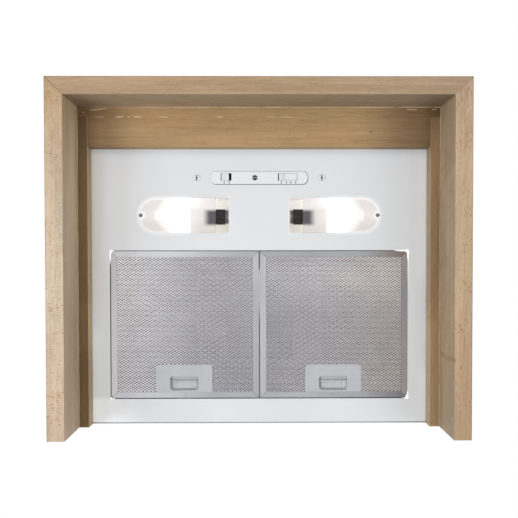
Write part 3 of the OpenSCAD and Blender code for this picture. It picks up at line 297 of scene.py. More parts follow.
class Finish:
    """A material made of one shader and the nodes that feed it, placed in the frame's metres."""

    def __init__(self, name, tone, roughness, metallic=0.0):
        self.material = bpy.data.materials.new(name)
        self.material.use_nodes = True
        self.tree = self.material.node_tree
        self.shader = self.tree.nodes["Principled BSDF"]
        self.tone = self.colour = tuple(tone)
        self.place = self.node("TexCoord").outputs["Object"]
        self.set("Base Color", (*self.tone, 1.0))
        self.set("Roughness", roughness)
        self.set("Metallic", metallic)

    def put(self, made, key, value):
        """Sets an input of a node, or links it to what makes its value."""
        value = getattr(value, "socket", value)
        if isinstance(value, bpy.types.NodeSocket):
            self.tree.links.new(value, made.inputs[key])
        else:
            made.inputs[key].default_value = value

    def set(self, socket, value):
        """Sets an input of the shader, or links it."""
        self.put(self.shader, socket, value)

    def coat(self, colour):
        """Takes a colour, or the socket that makes one, as the base colour."""
        self.colour = colour
        self.set("Base Color", colour)

    def glow(self, tone, strength):
        """Lets the surface shine in a tone."""
        self.set("Emission Color", (*tone, 1.0))
        self.set("Emission Strength", strength)

    def rough(self, value, smooth, dull):
        """Lets the roughness drift with a noise."""
        self.set("Roughness", value.grade(0.3, 0.7, smooth, dull))

    def tint(self, factor, tone):
        """Multiplies the base colour by a tone, as far as the factor says."""
        self.coat(self.mix(factor, self.colour, tone, "MULTIPLY"))

    def tints(self, *pairs):
        """Tints in turn, each given as how far, with places in metres of the frame, and its tone."""
        for factor, tone in pairs:
            self.tint(factor, tone)

    def vary(self, value, dark, light):
        """Lets the tone drift between two shades of itself."""
        self.coat(self.mix(value.grade(0.3, 0.7), shade(self.tone, dark), shade(self.tone, light)))

    def ramp(self, value, low_at, high_at, tones):
        """Tones that follow one another evenly from a low to a high value."""
        share = self.node("MapRange", {"Value": value, "From Min": low_at, "From Max": high_at})
        made = self.node("ValToRGB", {"Fac": share.outputs[0]})
        stops = made.color_ramp.elements
        while len(stops) < len(tones):
            stops.new(0.5)
        for i, tone in enumerate(tones):
            stops[i].position = i / (len(tones) - 1)
            stops[i].color = (*tone, 1.0)
        return made.outputs["Color"]

    def node(self, kind, inputs=None, **settings):
        """A node of one kind with its inputs and settings."""
        made = self.tree.nodes.new("ShaderNode" + kind)
        for key, value in settings.items():
            setattr(made, key, value)
        for key, value in (inputs or {}).items():
            self.put(made, key, value)
        return made

    def texture(self, kind, sizes, **inputs):
        """A texture over the place, with features of one size or of a size for each axis."""
        per_metre = [1 / size for size in (sizes if len(sizes) == 3 else sizes * 3)]
        scaled = self.node("VectorMath", {0: self.place, 1: per_metre}, operation="MULTIPLY")
        return self.node(kind, {"Vector": scaled.outputs[0], "Scale": 1.0, **inputs})

    def noise(self, *sizes, detail=3.0, roughness=0.5, distortion=0.0):
        """Soft noise with features of these sizes."""
        return Value(self, self.texture("TexNoise", sizes, Detail=detail, Roughness=roughness,
                                        Distortion=distortion).outputs[0])

    def cells(self, *sizes):
        """Distance to the middle of a cell, and a number of its own for each cell."""
        made = self.texture("TexVoronoi", sizes)
        return Value(self, made.outputs["Distance"]), self.axes(made.outputs["Color"])[0]

    def calc(self, operation, a, b=0.0):
        """A number worked out from one or two others."""
        return Value(self, self.node("Math", {0: a, 1: b}, operation=operation).outputs[0])

    def reach(self, x, y):
        """Length of the flat vector from x and y."""
        flat = self.node("CombineXYZ", {0: x, 1: y}).outputs[0]
        return Value(self, self.node("VectorMath", {0: flat}, operation="LENGTH").outputs["Value"])

    def mix(self, factor, a, b, blend_type="MIX"):
        """A colour between two others."""
        pair = [(*c, 1.0) if isinstance(c, tuple) else c for c in (a, b)]
        return self.node(
            "Mix", {0: factor, 6: pair[0], 7: pair[1]}, data_type="RGBA", blend_type=blend_type
        ).outputs[2]

    def axes(self, source=None):
        """The separate x, y and z of a place."""
        parts = self.node("SeparateXYZ", {0: source or self.place}).outputs
        return [Value(self, part) for part in parts]

    def bump(self, height, depth, strength=1.0):
        """Raises the surface where a value is high."""
        self.set("Normal", self.node(
            "Bump", {"Height": height, "Distance": depth, "Strength": strength}).outputs[0])


# Materials made so far
FINISHES = {}


def finish(name):
    """The material of that name, made once."""
    if name not in FINISHES:
        if name in METALS:
            screen, *rest = METALS[name]
            made = turned_metal(name, paint(*screen), *rest)
        elif name in PLASTICS:
            screen, roughness = PLASTICS[name]
            made = plastic(name, paint(*screen), roughness)
        else:
            made = MAKERS[name](name)
        FINISHES[name] = made.material
    return FINISHES[name]


def beech(name, tone, along, flecks=None):
    """Beech with its grain along one axis, and ray flecks along or across the grain below."""

    def grain(length, width, height=None):
        size = {"X": width, "Y": width, "Z": height or width}
        size[along] = length
        return [size[axis] for axis in "XYZ"]

    f = Finish(name, tone, 0.55)
    mottled = flecks == "across"
    f.vary(f.noise(*grain(0.22, 0.030)), 0.88, 1.08)
    rings = f.noise(*grain(0.40, 0.0065), detail=2.0, distortion=0.8)
    arcs = f.noise(*grain(0.16, 0.020, 0.25), detail=1.0, distortion=1.2)
    year = (arcs * 9.0).calc("PINGPONG", 0.5)
    lines = f.noise(*grain(0.035, 0.0014), detail=4.0, roughness=0.7)
    pore = f.cells(*grain(0.0045, 0.0012))[0].grade(0.14, 0.30, 0.6, 0.0)
    f.tints((rings.grade(0.42, 0.68, 0.0, 0.2 if mottled else 0.45), (0.80, 0.73, 0.66)),
            (year.grade(0.36, 0.5, 0.0, 0.1 if mottled else 0.38), (0.78, 0.70, 0.62)),
            (lines.grade(0.35, 0.7, 0.0, 0.55), (0.74, 0.69, 0.63)),
            (pore, (0.66, 0.58, 0.50)))
    if flecks:
        size = grain(0.0021, 0.0085, 0.05) if mottled else grain(0.0065, 0.0019, 0.05)
        off, pick = f.cells(*size)
        below = f.axes()[2].fade(FOOT_Z + 0.5 * MM, FOOT_Z + 1.2 * MM)
        dense = f.noise(*grain(0.035, 0.02), detail=2.0).grade(0.40, 0.62, 0.15, 1.0)
        f.tint(off.fade(0.22, 0.44) * (pick > 0.45) * dense * below,
               (0.70, 0.53, 0.40) if mottled else (0.70, 0.55, 0.43))
        if mottled:
            mottle = f.noise(*grain(0.012, 0.010, 0.05), roughness=0.6)
            f.tint(mottle.grade(0.42, 0.62) * below * 0.45, (0.86, 0.81, 0.73))
    f.rough(lines, 0.48, 0.66)
    f.bump(lines - pore, 0.10 * MM, 0.6)
    return f


def board(name, tone, along, flecks, inside, run):
    """A board of the surround: greyer up its sides, with tones along its run, the mitre's line and
    painted shade.
    """
    f = beech(name, tone, along, flecks)
    x, y, z = f.axes()
    below = z.fade(FOOT_Z + 0.4 * MM, FOOT_Z + 1.2 * MM)
    above = 1.0 - below
    f.tint(above, inside)
    if along == "X":
        # Painted shadow on the front board towards both corners, and painted shade on it from the
        # middle to the right
        f.tints((above * abs(x).grade(0.215, 0.274, 0.0, 0.9), (0.62, 0.60, 0.57)),
                (above * x.grade(-0.19, -0.03), (0.885, 0.905, 0.905)),
                (below, f.ramp(x, -HALF_W, HALF_W, run)))
    else:
        f.tint(below, f.ramp(y, FRONT_Y, 0.0, run))
    to_side, to_front = HALF_W - abs(x), y - FRONT_Y
    mitre = abs(to_side - to_front).fade(0.2 * MM, 0.9 * MM) * below
    # The mitre's dark joint line, then painted shade on the outer faces and along their edges
    f.tints((mitre * to_side.grade(8 * MM, 22 * MM, 1.0, 0.55) * x.grade(-0.2, 0.2, 0.95, 0.15),
             (0.30, 0.25, 0.20)),
            (to_side.calc("MINIMUM", to_front).grade(0.1 * MM, 1.3 * MM, 0.7, 0.0),
             (0.58, 0.58, 0.52)))
    return f


def front_beech(name):
    """The front board."""
    return board(name, looks("wood").front_tone, "X", None, (0.86, 0.95, 1.05), (
        (0.977, 0.99, 1.0), (1.0, 1.0, 0.975), (0.98, 0.975, 0.935), (0.915, 0.935, 0.90),
        (0.89, 0.92, 0.93), (0.88, 0.92, 0.945)))


def left_beech(name):
    """The left board, quarter sawn, with broad flecks."""
    return board(name, looks("wood").left_tone, "Y", "across", (0.885, 0.83, 0.765), (
        (0.76, 0.645, 0.475), (0.89, 0.81, 0.72), (0.903, 0.868, 0.843), (0.97, 0.955, 0.957),
        (1.0, 1.0, 1.0), (0.98, 0.955, 0.948), (0.883, 0.845, 0.826), (0.815, 0.78, 0.74)))


def right_beech(name):
    """The right board, with two small brown marks towards the rear."""
    f = board(name, looks("wood").right_tone, "Y", "along", (0.89, 0.93, 0.94), (
        (0.89, 0.86, 0.89), (0.92, 0.91, 0.885), (0.98, 0.98, 0.96), (0.98, 0.98, 0.96),
        (0.93, 0.925, 0.86), (0.90, 0.85, 0.78), (0.86, 0.81, 0.72), (0.82, 0.77, 0.66)))
    x, y, _ = f.axes()
    for mark_x, mark_y in ((0.2760, -0.113), (0.2835, -0.103)):
        off = f.reach(x - mark_x, (y - mark_y) * 0.35)
        f.tint(off.grade(0.4 * MM, 2.0 * MM, 0.6, 0.0), (0.62, 0.42, 0.20))
    return f


def ledge(name, tone, under):
    """A side batten: its inner side is lighter than the ledge below, which is dark, partly from its
    wood and partly from painted shadow.
    """
    f = beech(name, tone, "Y")
    x, y, _ = f.axes()
    edge = abs(BATTEN_X)
    # Painted shadow on the ledge, painted shade towards the front, and painted light on the right
    # batten's rear and on the left one by the filters' middle
    f.tints((abs(x).grade(edge + 0.3 * MM, edge + 1.0 * MM), under),
            (y.grade(-0.40, -0.47, 0.0, 0.6), (0.70, 0.66, 0.62)),
            (x.grade(0.0, 0.01) * y.grade(-0.20, -0.14), (1.27, 1.31, 1.33)),
            (x.grade(0.0, -0.01) * abs(y - FILTER_MID).fade(0.02, 0.05), (1.17, 1.22, 1.2)))
    return f


def filler_beech(name):
    """The filler board and the front batten: golden, darker at the ends and corners with painted
    shade, with a small knot.
    """
    f = beech(name, looks("wood").filler_tone, "X")
    x, y, _ = f.axes()
    knot = f.reach((x - 0.1695) * 0.45, y - 0.5 * (FILLER_REAR + BATTEN_REAR))
    # Painted shade towards both ends and in the corners; the knot is the wood's own
    f.tints((x.grade(0.13, 0.25), (0.52, 0.49, 0.46)),
            (x.grade(-0.18, -0.262), (0.62, 0.58, 0.52)),
            (abs(x).grade(0.240, 0.270, 0.0, 0.8), (0.58, 0.54, 0.46)),
            (knot.grade(0.6 * MM, 2.2 * MM, 0.75, 0.0), (0.45, 0.34, 0.24)))
    return f


def glue(name):
    """Dried glue, a little glossy."""
    f = Finish(name, looks("wood").glue_tone, 0.32)
    spots = f.noise(0.004, 0.002, 0.002)
    f.vary(spots, 0.9, 1.08)
    f.bump(spots, 0.1 * MM)
    return f


def powder(name):
    """White powder paint with a fine orange peel."""
    f = Finish(name, looks("sheet").white_tone, 0.42)
    f.vary(f.noise(0.20, detail=2.0), 0.975, 1.01)
    f.rough(f.noise(0.03), 0.38, 0.46)
    f.bump(f.noise(0.0022, detail=2.0), 0.02 * MM, 0.5)
    return f


def lamp_place(f):
    """Distance from a lamp's middle line, from the middle of the hood, and to the lamp's rear."""
    x, y, _ = f.axes()
    across, beside = abs(x), y - LAMP_Y
    return f.reach((across - LAMP_END).most(0.0), beside), across, beside


def panel_powder(name):
    """The panel's paint, with painted lamp light softly round the lamps and at the filter opening's
    corners, and painted light and shade towards its edges.
    """
    f = powder(name)
    reach, across, beside = lamp_place(f)
    halo = reach.grade(LAMP_HALF, LAMP_HALF + 3.2 * MM, 0.08, 0.0) * across.grade(0.100, 0.125)
    flat_end = (across.grade(0.0442, 0.0465, 0.0, 0.10) * across.fade(0.0474, 0.0500)
                * abs(beside).fade(LAMP_HALF - 1 * MM, LAMP_HALF + 3 * MM))
    f.glow((1.0, 0.99, 0.97), halo + flat_end + leak(f, 1.6 * MM) * 0.4)
    x, y, _ = f.axes()
    ends = abs(y - FILTER_MID).grade(0.045, 0.095)
    rear = y.grade(-0.045, -0.035)
    beside_lamps = abs(y - LAMPS_MID).fade(0.06, 0.10)
    # Painted light and shade: a dark line at the rear joint, a cooler front, lighter sides and left
    # corners, a darker rear middle and a warmer left edge
    f.tints((y.grade(-3.2 * MM, -1.2 * MM) * 0.35, (0.5, 0.5, 0.5)),
            (y.grade(-0.385, -0.480, 0.0, 0.8), (0.94, 1.0, 1.09)),
            (x.grade(0.235, 0.260) * ends, (1.14, 1.12, 1.11)),
            (x.grade(-0.235, -0.260) * y.grade(-0.17, -0.13), (1.10, 1.11, 1.09)),
            (x.grade(-0.06, -0.12) * rear, (0.95, 0.94, 0.935)),
            (x.grade(-0.17, -0.23) * rear, (1.30, 1.30, 1.30)),
            (x.grade(-0.18, -0.23) * y.grade(-0.40, -0.44), (1.06, 1.09, 1.11)),
            (x.grade(-0.16, -0.21) * x.grade(-0.250, -0.235) * beside_lamps, (1.07, 1.06, 1.05)),
            (x.grade(-0.232, -0.262) * y.grade(-0.14, -0.24), (1.0, 0.955, 0.89)))
    return f


def leak(f, width):
    """Lamp light that escapes at the outer corners of the filters, on a rim of some width."""
    x, y, _ = f.axes()
    beyond_x = abs(x) - FILTER_X
    spots = []
    for edge_y, way, runs in ((RAIL_FRONT, -1.0, ((-1.0, 5, 20), (1.0, 19, 12))),
                              (FILTER_REAR, 1.0, ((-1.0, 6, 1), (1.0, 2, 8)))):
        beyond_y = (y - edge_y) * way
        outside = beyond_x.most(beyond_y).fade(0.4 * width, width)
        for side, along_x, along_y in runs:
            spots.append(beyond_x.grade(*mm(-1.1 * along_x, -0.5 * along_x))
                         * beyond_y.grade(*mm(-1.2 * along_y, -0.4 * along_y))
                         * outside * (x * side > 0.0))
    return sum(spots[1:], spots[0])


def rim_powder(name):
    """The folded rim of the filter opening, with painted lamp light at its corners and along its right
    side, and painted shade that makes its left side nearly black.
    """
    f = powder(name)
    x, y, _ = f.axes()
    f.tint(x < 0.0, (0.18, 0.17, 0.16))
    f.glow((1.0, 0.99, 0.96), leak(f, 8 * MM) + (x > 0.0) * y.grade(-0.25, -0.20, 0.9, 0.5))
    return f


def divider_powder(name):
    """The divider's paint, which lamp light reaches behind the front of the filters."""
    f = powder(name)
    y = f.axes()[1]
    f.glow((1.0, 1.0, 1.0), y.grade(-0.243, -0.238) * y.grade(-0.20, -0.15, 0.45, 0.0))
    return f


def zinc(name):
    """Galvanised sheet with its spangle."""
    f = Finish(name, looks("sheet").zinc_tone, 0.42, 0.85)
    grey = f.cells(0.011)[1]
    f.coat(f.mix(grey, shade(f.tone, 0.82), shade(f.tone, 1.12)))
    f.set("Roughness", grey.grade(0.0, 1.0, 0.34, 0.52))
    f.bump(f.noise(0.002), 0.02 * MM, 0.4)
    return f


def turned_metal(name, tone, roughness, metallic):
    """Plated or blackened metal with fine marks from the tool."""
    f = Finish(name, tone, roughness, metallic)
    marks = f.noise(0.0006, detail=4.0)
    f.vary(marks, 0.82, 1.12)
    f.rough(marks, roughness - 0.08, roughness + 0.1)
    f.bump(marks, 0.015 * MM, 0.5)
    return f


def neck(name):
    """A lampholder's foot: bright at the flat end of the lamp opening, dark beside the holder."""
    f = turned_metal(name, paint(186, 184, 186), 0.4, 0.3)
    f.tint(abs(f.axes()[0]).grade(0.0500, 0.0506), (0.28, 0.28, 0.30))
    return f


def recess_highlight_and_shade(name):
    """The bezel screw's recess: painted highlights in its two side arms, painted shade in the middle.
    """
    f = turned_metal(name, paint(205, 205, 207), 0.4, 0.2)
    off = abs(f.axes()[0] - middle("bezel_screw").x)
    f.tint(off.fade(0.6 * MM, 1.0 * MM), (0.03, 0.03, 0.03))
    return f


def brushed(name, along):
    """Aluminium strip brushed along one axis, with painted reflections that darken it towards the
    right filter's end.
    """
    f = Finish(name, looks("filter").rail_tone, 0.40, 0.30)
    x, y, _ = f.axes()
    if along == "X":
        # Painted reflections along the front and rear rails
        front = f.ramp(x, -FILTER_X, FILTER_X, (
            (1.07, 1.07, 1.07), (0.98, 0.98, 0.99), (0.76, 0.76, 0.77), (0.61, 0.61, 0.63),
            (0.56, 0.57, 0.59), (0.57, 0.58, 0.60), (0.30, 0.22, 0.16)))
        rear = f.ramp(x, -FILTER_X, FILTER_X, (
            (1.02, 1.02, 1.03), (0.84, 0.84, 0.86), (0.65, 0.65, 0.67), (0.66, 0.66, 0.68),
            (0.67, 0.675, 0.695), (0.59, 0.59, 0.61), (0.28, 0.27, 0.28)))
        f.tint(1.0, f.mix(y.grade(-0.2, -0.1), front, rear))
    else:
        # Painted reflections on the side rails, darkest on the right filter
        right, left = x.grade(0.1, 0.2), x.grade(-0.1, -0.2)
        f.tints((right, (0.48, 0.46, 0.455)),
                (abs(x).fade(0.02, 0.06), (0.74, 0.74, 0.75)),
                (left * y.grade(-0.26, -0.05), (1.18, 1.18, 1.18)),
                (left, (0.90, 0.89, 0.88)),
                (right * y.grade(-0.20, -0.26), (0.98, 0.91, 0.87)),
                (right * abs(y + 0.19).fade(0.02, 0.08), (0.87, 0.88, 0.89)),
                (x.grade(0.0, -0.003) * x.grade(-0.04, -0.02) * y.grade(-0.24, -0.18),
                 (0.87, 0.87, 0.88)))
    # Painted shadow on the tabs in front of the front rail, and painted lamp light at the outer
    # corners
    f.tint(y.grade(RAIL_FRONT - 0.45 * MM, RAIL_FRONT - 0.6 * MM), (0.12, 0.12, 0.12))
    outer = (abs(x) - FILTER_X).most(RAIL_FRONT - y).grade(-1.2 * MM, -0.2 * MM)
    f.glow((1.0, 0.99, 0.97), leak(f, 4 * MM) * 0.8 * outer)
    hairs = f.noise(*[0.030 if axis == along else 0.0004 for axis in "XYZ"])
    patches = f.noise(0.09, detail=1.0).grade(0.35, 0.65, 0.0, 0.5)
    f.tints((hairs.grade(0.3, 0.7, 0.0, 0.6), (0.86, 0.86, 0.87)), (patches, (0.90, 0.90, 0.91)))
    f.rough(hairs, 0.34, 0.50)
    f.bump(hairs, 0.01 * MM, 0.5)
    return f


def net_metal(name, tone, shine=0.5):
    """Expanded aluminium, with painted light and shade that make it brighter towards the lamps and the
    left, and warm painted reflections.
    """
    f = Finish(name, tone, 0.42, 0.15)
    f.set("Specular IOR Level", shine)
    f.vary(f.noise(0.030), 0.93, 1.02)
    x, y, _ = f.axes()
    f.tints((y.grade(*NET_DEPTH, 0.0, 0.75), (0.70, 0.70, 0.72)), (1.0, f.ramp(
        x, -NET_SIDE, NET_SIDE, (
            (1.24, 1.22, 1.24), (0.96, 0.97, 1.01), (0.74, 0.74, 0.79), (0.72, 0.72, 0.77),
            (0.75, 0.75, 0.78), (0.84, 0.82, 0.84), (0.85, 0.81, 0.81), (0.89, 0.83, 0.78))
    )), (x > 0.0, f.ramp(y, *NET_DEPTH, (
        (0.97, 0.97, 0.98), (1.12, 1.13, 1.13), (0.99, 1.0, 1.02), (0.88, 0.89, 0.91),
        (0.87, 0.88, 0.90), (0.94, 0.95, 0.96), (0.98, 0.98, 0.98), (0.98, 0.98, 0.98)))))
    f.rough(f.noise(0.001), 0.34, 0.50)
    return f


def plate_paint(name):
    """Grey stoved paint of the latch plates."""
    f = Finish(name, looks("filter").plate_tone, 0.36, 0.15)
    f.vary(f.noise(0.03, detail=2.0), 0.96, 1.03)
    f.bump(f.noise(0.0012), 0.015 * MM, 0.5)
    return f


def latch_paint(name):
    """The latch's paint, in shade at the left of the cup and on the bolt."""
    f = plate_paint(name)
    x, y, z = f.axes()
    left, right = middle("left_latch").x, middle("right_latch").x
    beside = x - ((x > 0.0) * (right - left) + left)
    foot, tip = low("left_latch").z, high("left_latch").y
    f.tints((beside.fade(-21.5 * MM, -16.5 * MM) * z.grade(foot + 0.1 * MM, foot + 0.8 * MM),
             (0.45, 0.46, 0.47)),
            (y.grade(tip - 6 * MM, tip - 5 * MM), (0.2, 0.2, 0.2)))
    return f


def plastic(name, tone, roughness, grain=0.0009):
    """Moulded plastic with a fine spark-eroded grain."""
    f = Finish(name, tone, roughness)
    speckle = f.noise(grain, detail=2.0)
    f.vary(speckle, 0.95, 1.03)
    f.rough(speckle, roughness - 0.05, roughness + 0.07)
    f.bump(speckle, 0.02 * MM, 0.5)
    return f


def seal_and_shade_plastic(name):
    """The bezel's black seal, which also stands in for the shade in the gap round the bezel, with
    painted light at its left end.
    """
    f = plastic(name, paint(40, 40, 43), 0.5)
    f.coat(f.mix(f.axes()[0].grade(-0.066, -0.072, 0.0, 0.7), f.colour, paint(196, 198, 201)))
    return f


def lamp_housing(name):
    """White paint inside a lamp housing, with painted shade along the edges of the opening and towards
    the rear, and painted lamp light by the flat end.
    """
    f = plastic(name, paint(246, 245, 243), 0.5)
    _, across, beside = lamp_place(f)
    f.tints((abs(beside).grade(LAMP_HALF - 1.6 * MM, LAMP_HALF - 0.4 * MM)
             * f.axes()[2].grade(PANEL_Z + 1.5 * MM, PANEL_Z + 5 * MM, 1.0, 0.25),
             (0.58, 0.56, 0.53)),
            (beside.grade(4 * MM, 24 * MM), (0.90, 0.885, 0.86)))
    f.glow((1.0, 0.975, 0.945), across.grade(0.070, 0.080, 0.15, 0.0))
    return f


def frosted(name):
    """A lamp cover: glowing in front of the bulb, with painted shade towards the rear and along its
    edges, and a grey painted shadow where only the cap is behind it.
    """
    look = looks("lamp")
    f = plastic(name, look.frost_tone, 0.45, 0.0015)
    reach, across, beside = lamp_place(f)
    off = abs(beside)
    start = (across + (f.axes()[0] > 0.0) * (2.5 * MM)).grade(0.1045, 0.1110)
    side_run = (beside * beside + (8 * MM) ** 2).calc("SQRT")
    flame = (across - 0.136).most(0.0) + side_run * 0.75
    tongue = off.fade(4 * MM, 13 * MM) * across.grade(0.160, 0.167, 0.24, 0.0)
    lit = start * tongue.most(flame.grade(24 * MM, 39 * MM, 0.24, 0.0)
                              + flame.grade(18 * MM, 24 * MM, 0.5, 0.0))
    rim = (reach.grade(LAMP_HALF - 6.5 * MM, LAMP_HALF - 3.0 * MM, 0.0, 0.17)
           * across.grade(0.092, 0.112))
    to_tip = f.reach(across - (high("right_diffuser").x - 5 * MM), beside)
    tip = (to_tip.grade(2 * MM, 10 * MM, 0.24, 0.0)
           + off.grade(0.0, 12 * MM, 0.065, 0.035) * across.grade(0.146, 0.156))
    beam = (beside.grade(-0.017, -0.005, 0.20, 0.0) * across.grade(0.060, 0.112)
            + across.grade(0.085, 0.110, 0.0, 0.09))
    # The painted shadow of the bulb's cap, which the glow leaves out
    cap = across.fade(0.0765, 0.0900) * abs(beside - 3.5 * MM).fade(8.0 * MM, 15.0 * MM)
    veil = beam * (1.0 - cap) * across.fade(0.106, 0.114)
    border = off.grade(LAMP_HALF - 2.6 * MM, LAMP_HALF - 1.2 * MM) * across.fade(0.080, 0.106)
    glow = lit.most(rim).most(tip + veil) * (1.0 - border)
    f.glow((1.0, 0.995, 0.985), glow * look.glow)
    f.tints((beside.grade(0.0, 0.024), (0.90, 0.885, 0.86)), (border, (0.60, 0.58, 0.55)))
    f.coat(f.mix(cap * 0.97, f.colour, paint(66, 63, 70)))
    return f


def bulb_glass(name):
    """Opal glass that shines."""
    light = looks("lamp").bulb_light
    f = Finish(name, paint(250, 246, 238), 0.2)
    f.glow((1.0, 0.99, 0.975), f.noise(0.02).grade(0.3, 0.7, 0.95 * light, light))
    return f


def painted(name):
    """The floor's plain matt paint."""
    f = Finish(name, looks("stage").floor_tone, 0.9)
    f.vary(f.noise(0.5), 0.985, 1.0)
    return f


# Plain metals by name: screen colour, roughness and how metallic; each recess is darker than its head
# as painted shade
METALS = {
    "bright_screw": ((205, 207, 211), 0.28, 0.9),
    "bright_recess": ((120, 121, 124), 0.4, 0.8),
    "chrome_screw": ((208, 210, 217), 0.2, 0.9),
    "chrome_recess": ((40, 40, 44), 0.4, 0.6),
    "black_screw": ((56, 56, 58), 0.35, 0.7),
    "dull_screw": ((138, 138, 140), 0.4, 0.8),
    "dull_recess": ((84, 84, 86), 0.4, 0.6),
    "motor_shell": ((140, 143, 148), 0.4, 0.8),
    "bracket_metal": ((160, 156, 154), 0.45, 0.5),
    "cap_metal": ((176, 172, 170), 0.35, 0.85),
}
# Plain plastics by name: screen colour and roughness
PLASTICS = {
    "mark_grey": ((96, 97, 100), 0.5),
    "seal_rubber": ((96, 96, 97), 0.6),
    "black_plastic": ((40, 40, 43), 0.5),
    "holder_plastic": ((16, 15, 16), 0.34),
    "can_plastic": ((226, 226, 222), 0.5),
    "terminal_plastic": ((235, 232, 222), 0.45),
}
# Functions for all other materials
MAKERS = {
    "beech_front": front_beech,
    "beech_left": left_beech,
    "beech_right": right_beech,
    # The ledge tones below the battens: a darker wood with painted shadow, far deeper on the left
    "beech_left_batten": lambda n: ledge(n, looks("wood").left_batten_tone, (0.335, 0.27, 0.165)),
    "beech_right_batten": lambda n: ledge(n, looks("wood").right_batten_tone, (0.77, 0.64, 0.52)),
    "beech_filler": filler_beech,
    "joint_glue": glue,
    "white_powder": powder,
    "panel_powder": panel_powder,
    "divider_powder": divider_powder,
    "rim_powder": rim_powder,
    "zinc_spangle": zinc,
    "black_recess": recess_highlight_and_shade,
    "rail_along_x": lambda n: brushed(n, "X"),
    "rail_along_y": lambda n: brushed(n, "Y"),
    "net_metal": lambda n: net_metal(n, looks("filter").net_tone),
    # Aluminium nets painted near black, as painted shade behind the front net
    "back_net_metal": lambda n: net_metal(n, looks("filter").back_net_shade_tone, 0.1),
    "plate_paint": plate_paint,
    "latch_paint": latch_paint,
    "bezel_plastic": lambda n: plastic(n, looks("switch").bezel_tone, 0.4),
    "bezel_seal": seal_and_shade_plastic,
    "neck_metal": neck,
    "lamp_white": lamp_housing,
    "frosted_cover": frosted,
    "bulb_glass": bulb_glass,
    "floor_paint": painted,
}


def turn(angle, radius, centre=(0.0, 0.0)):
    """Point on a circle, with the angle in degrees."""
    a = math.radians(angle)
    return (centre[0] + radius * math.cos(a), centre[1] + radius * math.sin(a))


def arc(centre, radius, start, end, steps):
    """Points along an arc, with the angles in degrees."""
    return [turn(start + (end - start) * i / steps, radius, centre) for i in range(steps + 1)]


def corners(x0, y0, x1, y1, near, far, steps=6):
    """Outline of a rectangle with one corner radius at its low y and another at its high y."""
    return (arc((x1 - far, y1 - far), far, 0, 90, steps)
            + arc((x0 + far, y1 - far), far, 90, 180, steps)
            + arc((x0 + near, y0 + near), near, 180, 270, steps)
            + arc((x1 - near, y0 + near), near, 270, 360, steps))


def rounded(x0, y0, x1, y1, r, steps=6):
    """Outline of a rectangle with round corners."""
    return corners(x0, y0, x1, y1, r, r, steps)


def block(x0, y0, x1, y1):
    """Outline of a rectangle with sharp corners."""
    return [(x0, y0), (x1, y0), (x1, y1), (x0, y1)]


def smooth(points, steps):
    """A curve through points, in as many steps between each two."""
    ends = [points[0]] + list(points) + [points[-1]]
    curve = []
    for i in range(1, len(ends) - 2):
        p = [Vector(q) for q in ends[i - 1:i + 3]]
        for k in range(steps):
            t = k / steps
            curve.append(0.5 * (2 * p[1] + (p[2] - p[0]) * t
                                + (2 * p[0] - 5 * p[1] + 4 * p[2] - p[3]) * t ** 2
                                + (3 * p[1] - p[0] - 3 * p[2] + p[3]) * t ** 3))
    return [tuple(c) for c in curve] + [tuple(points[-1])]


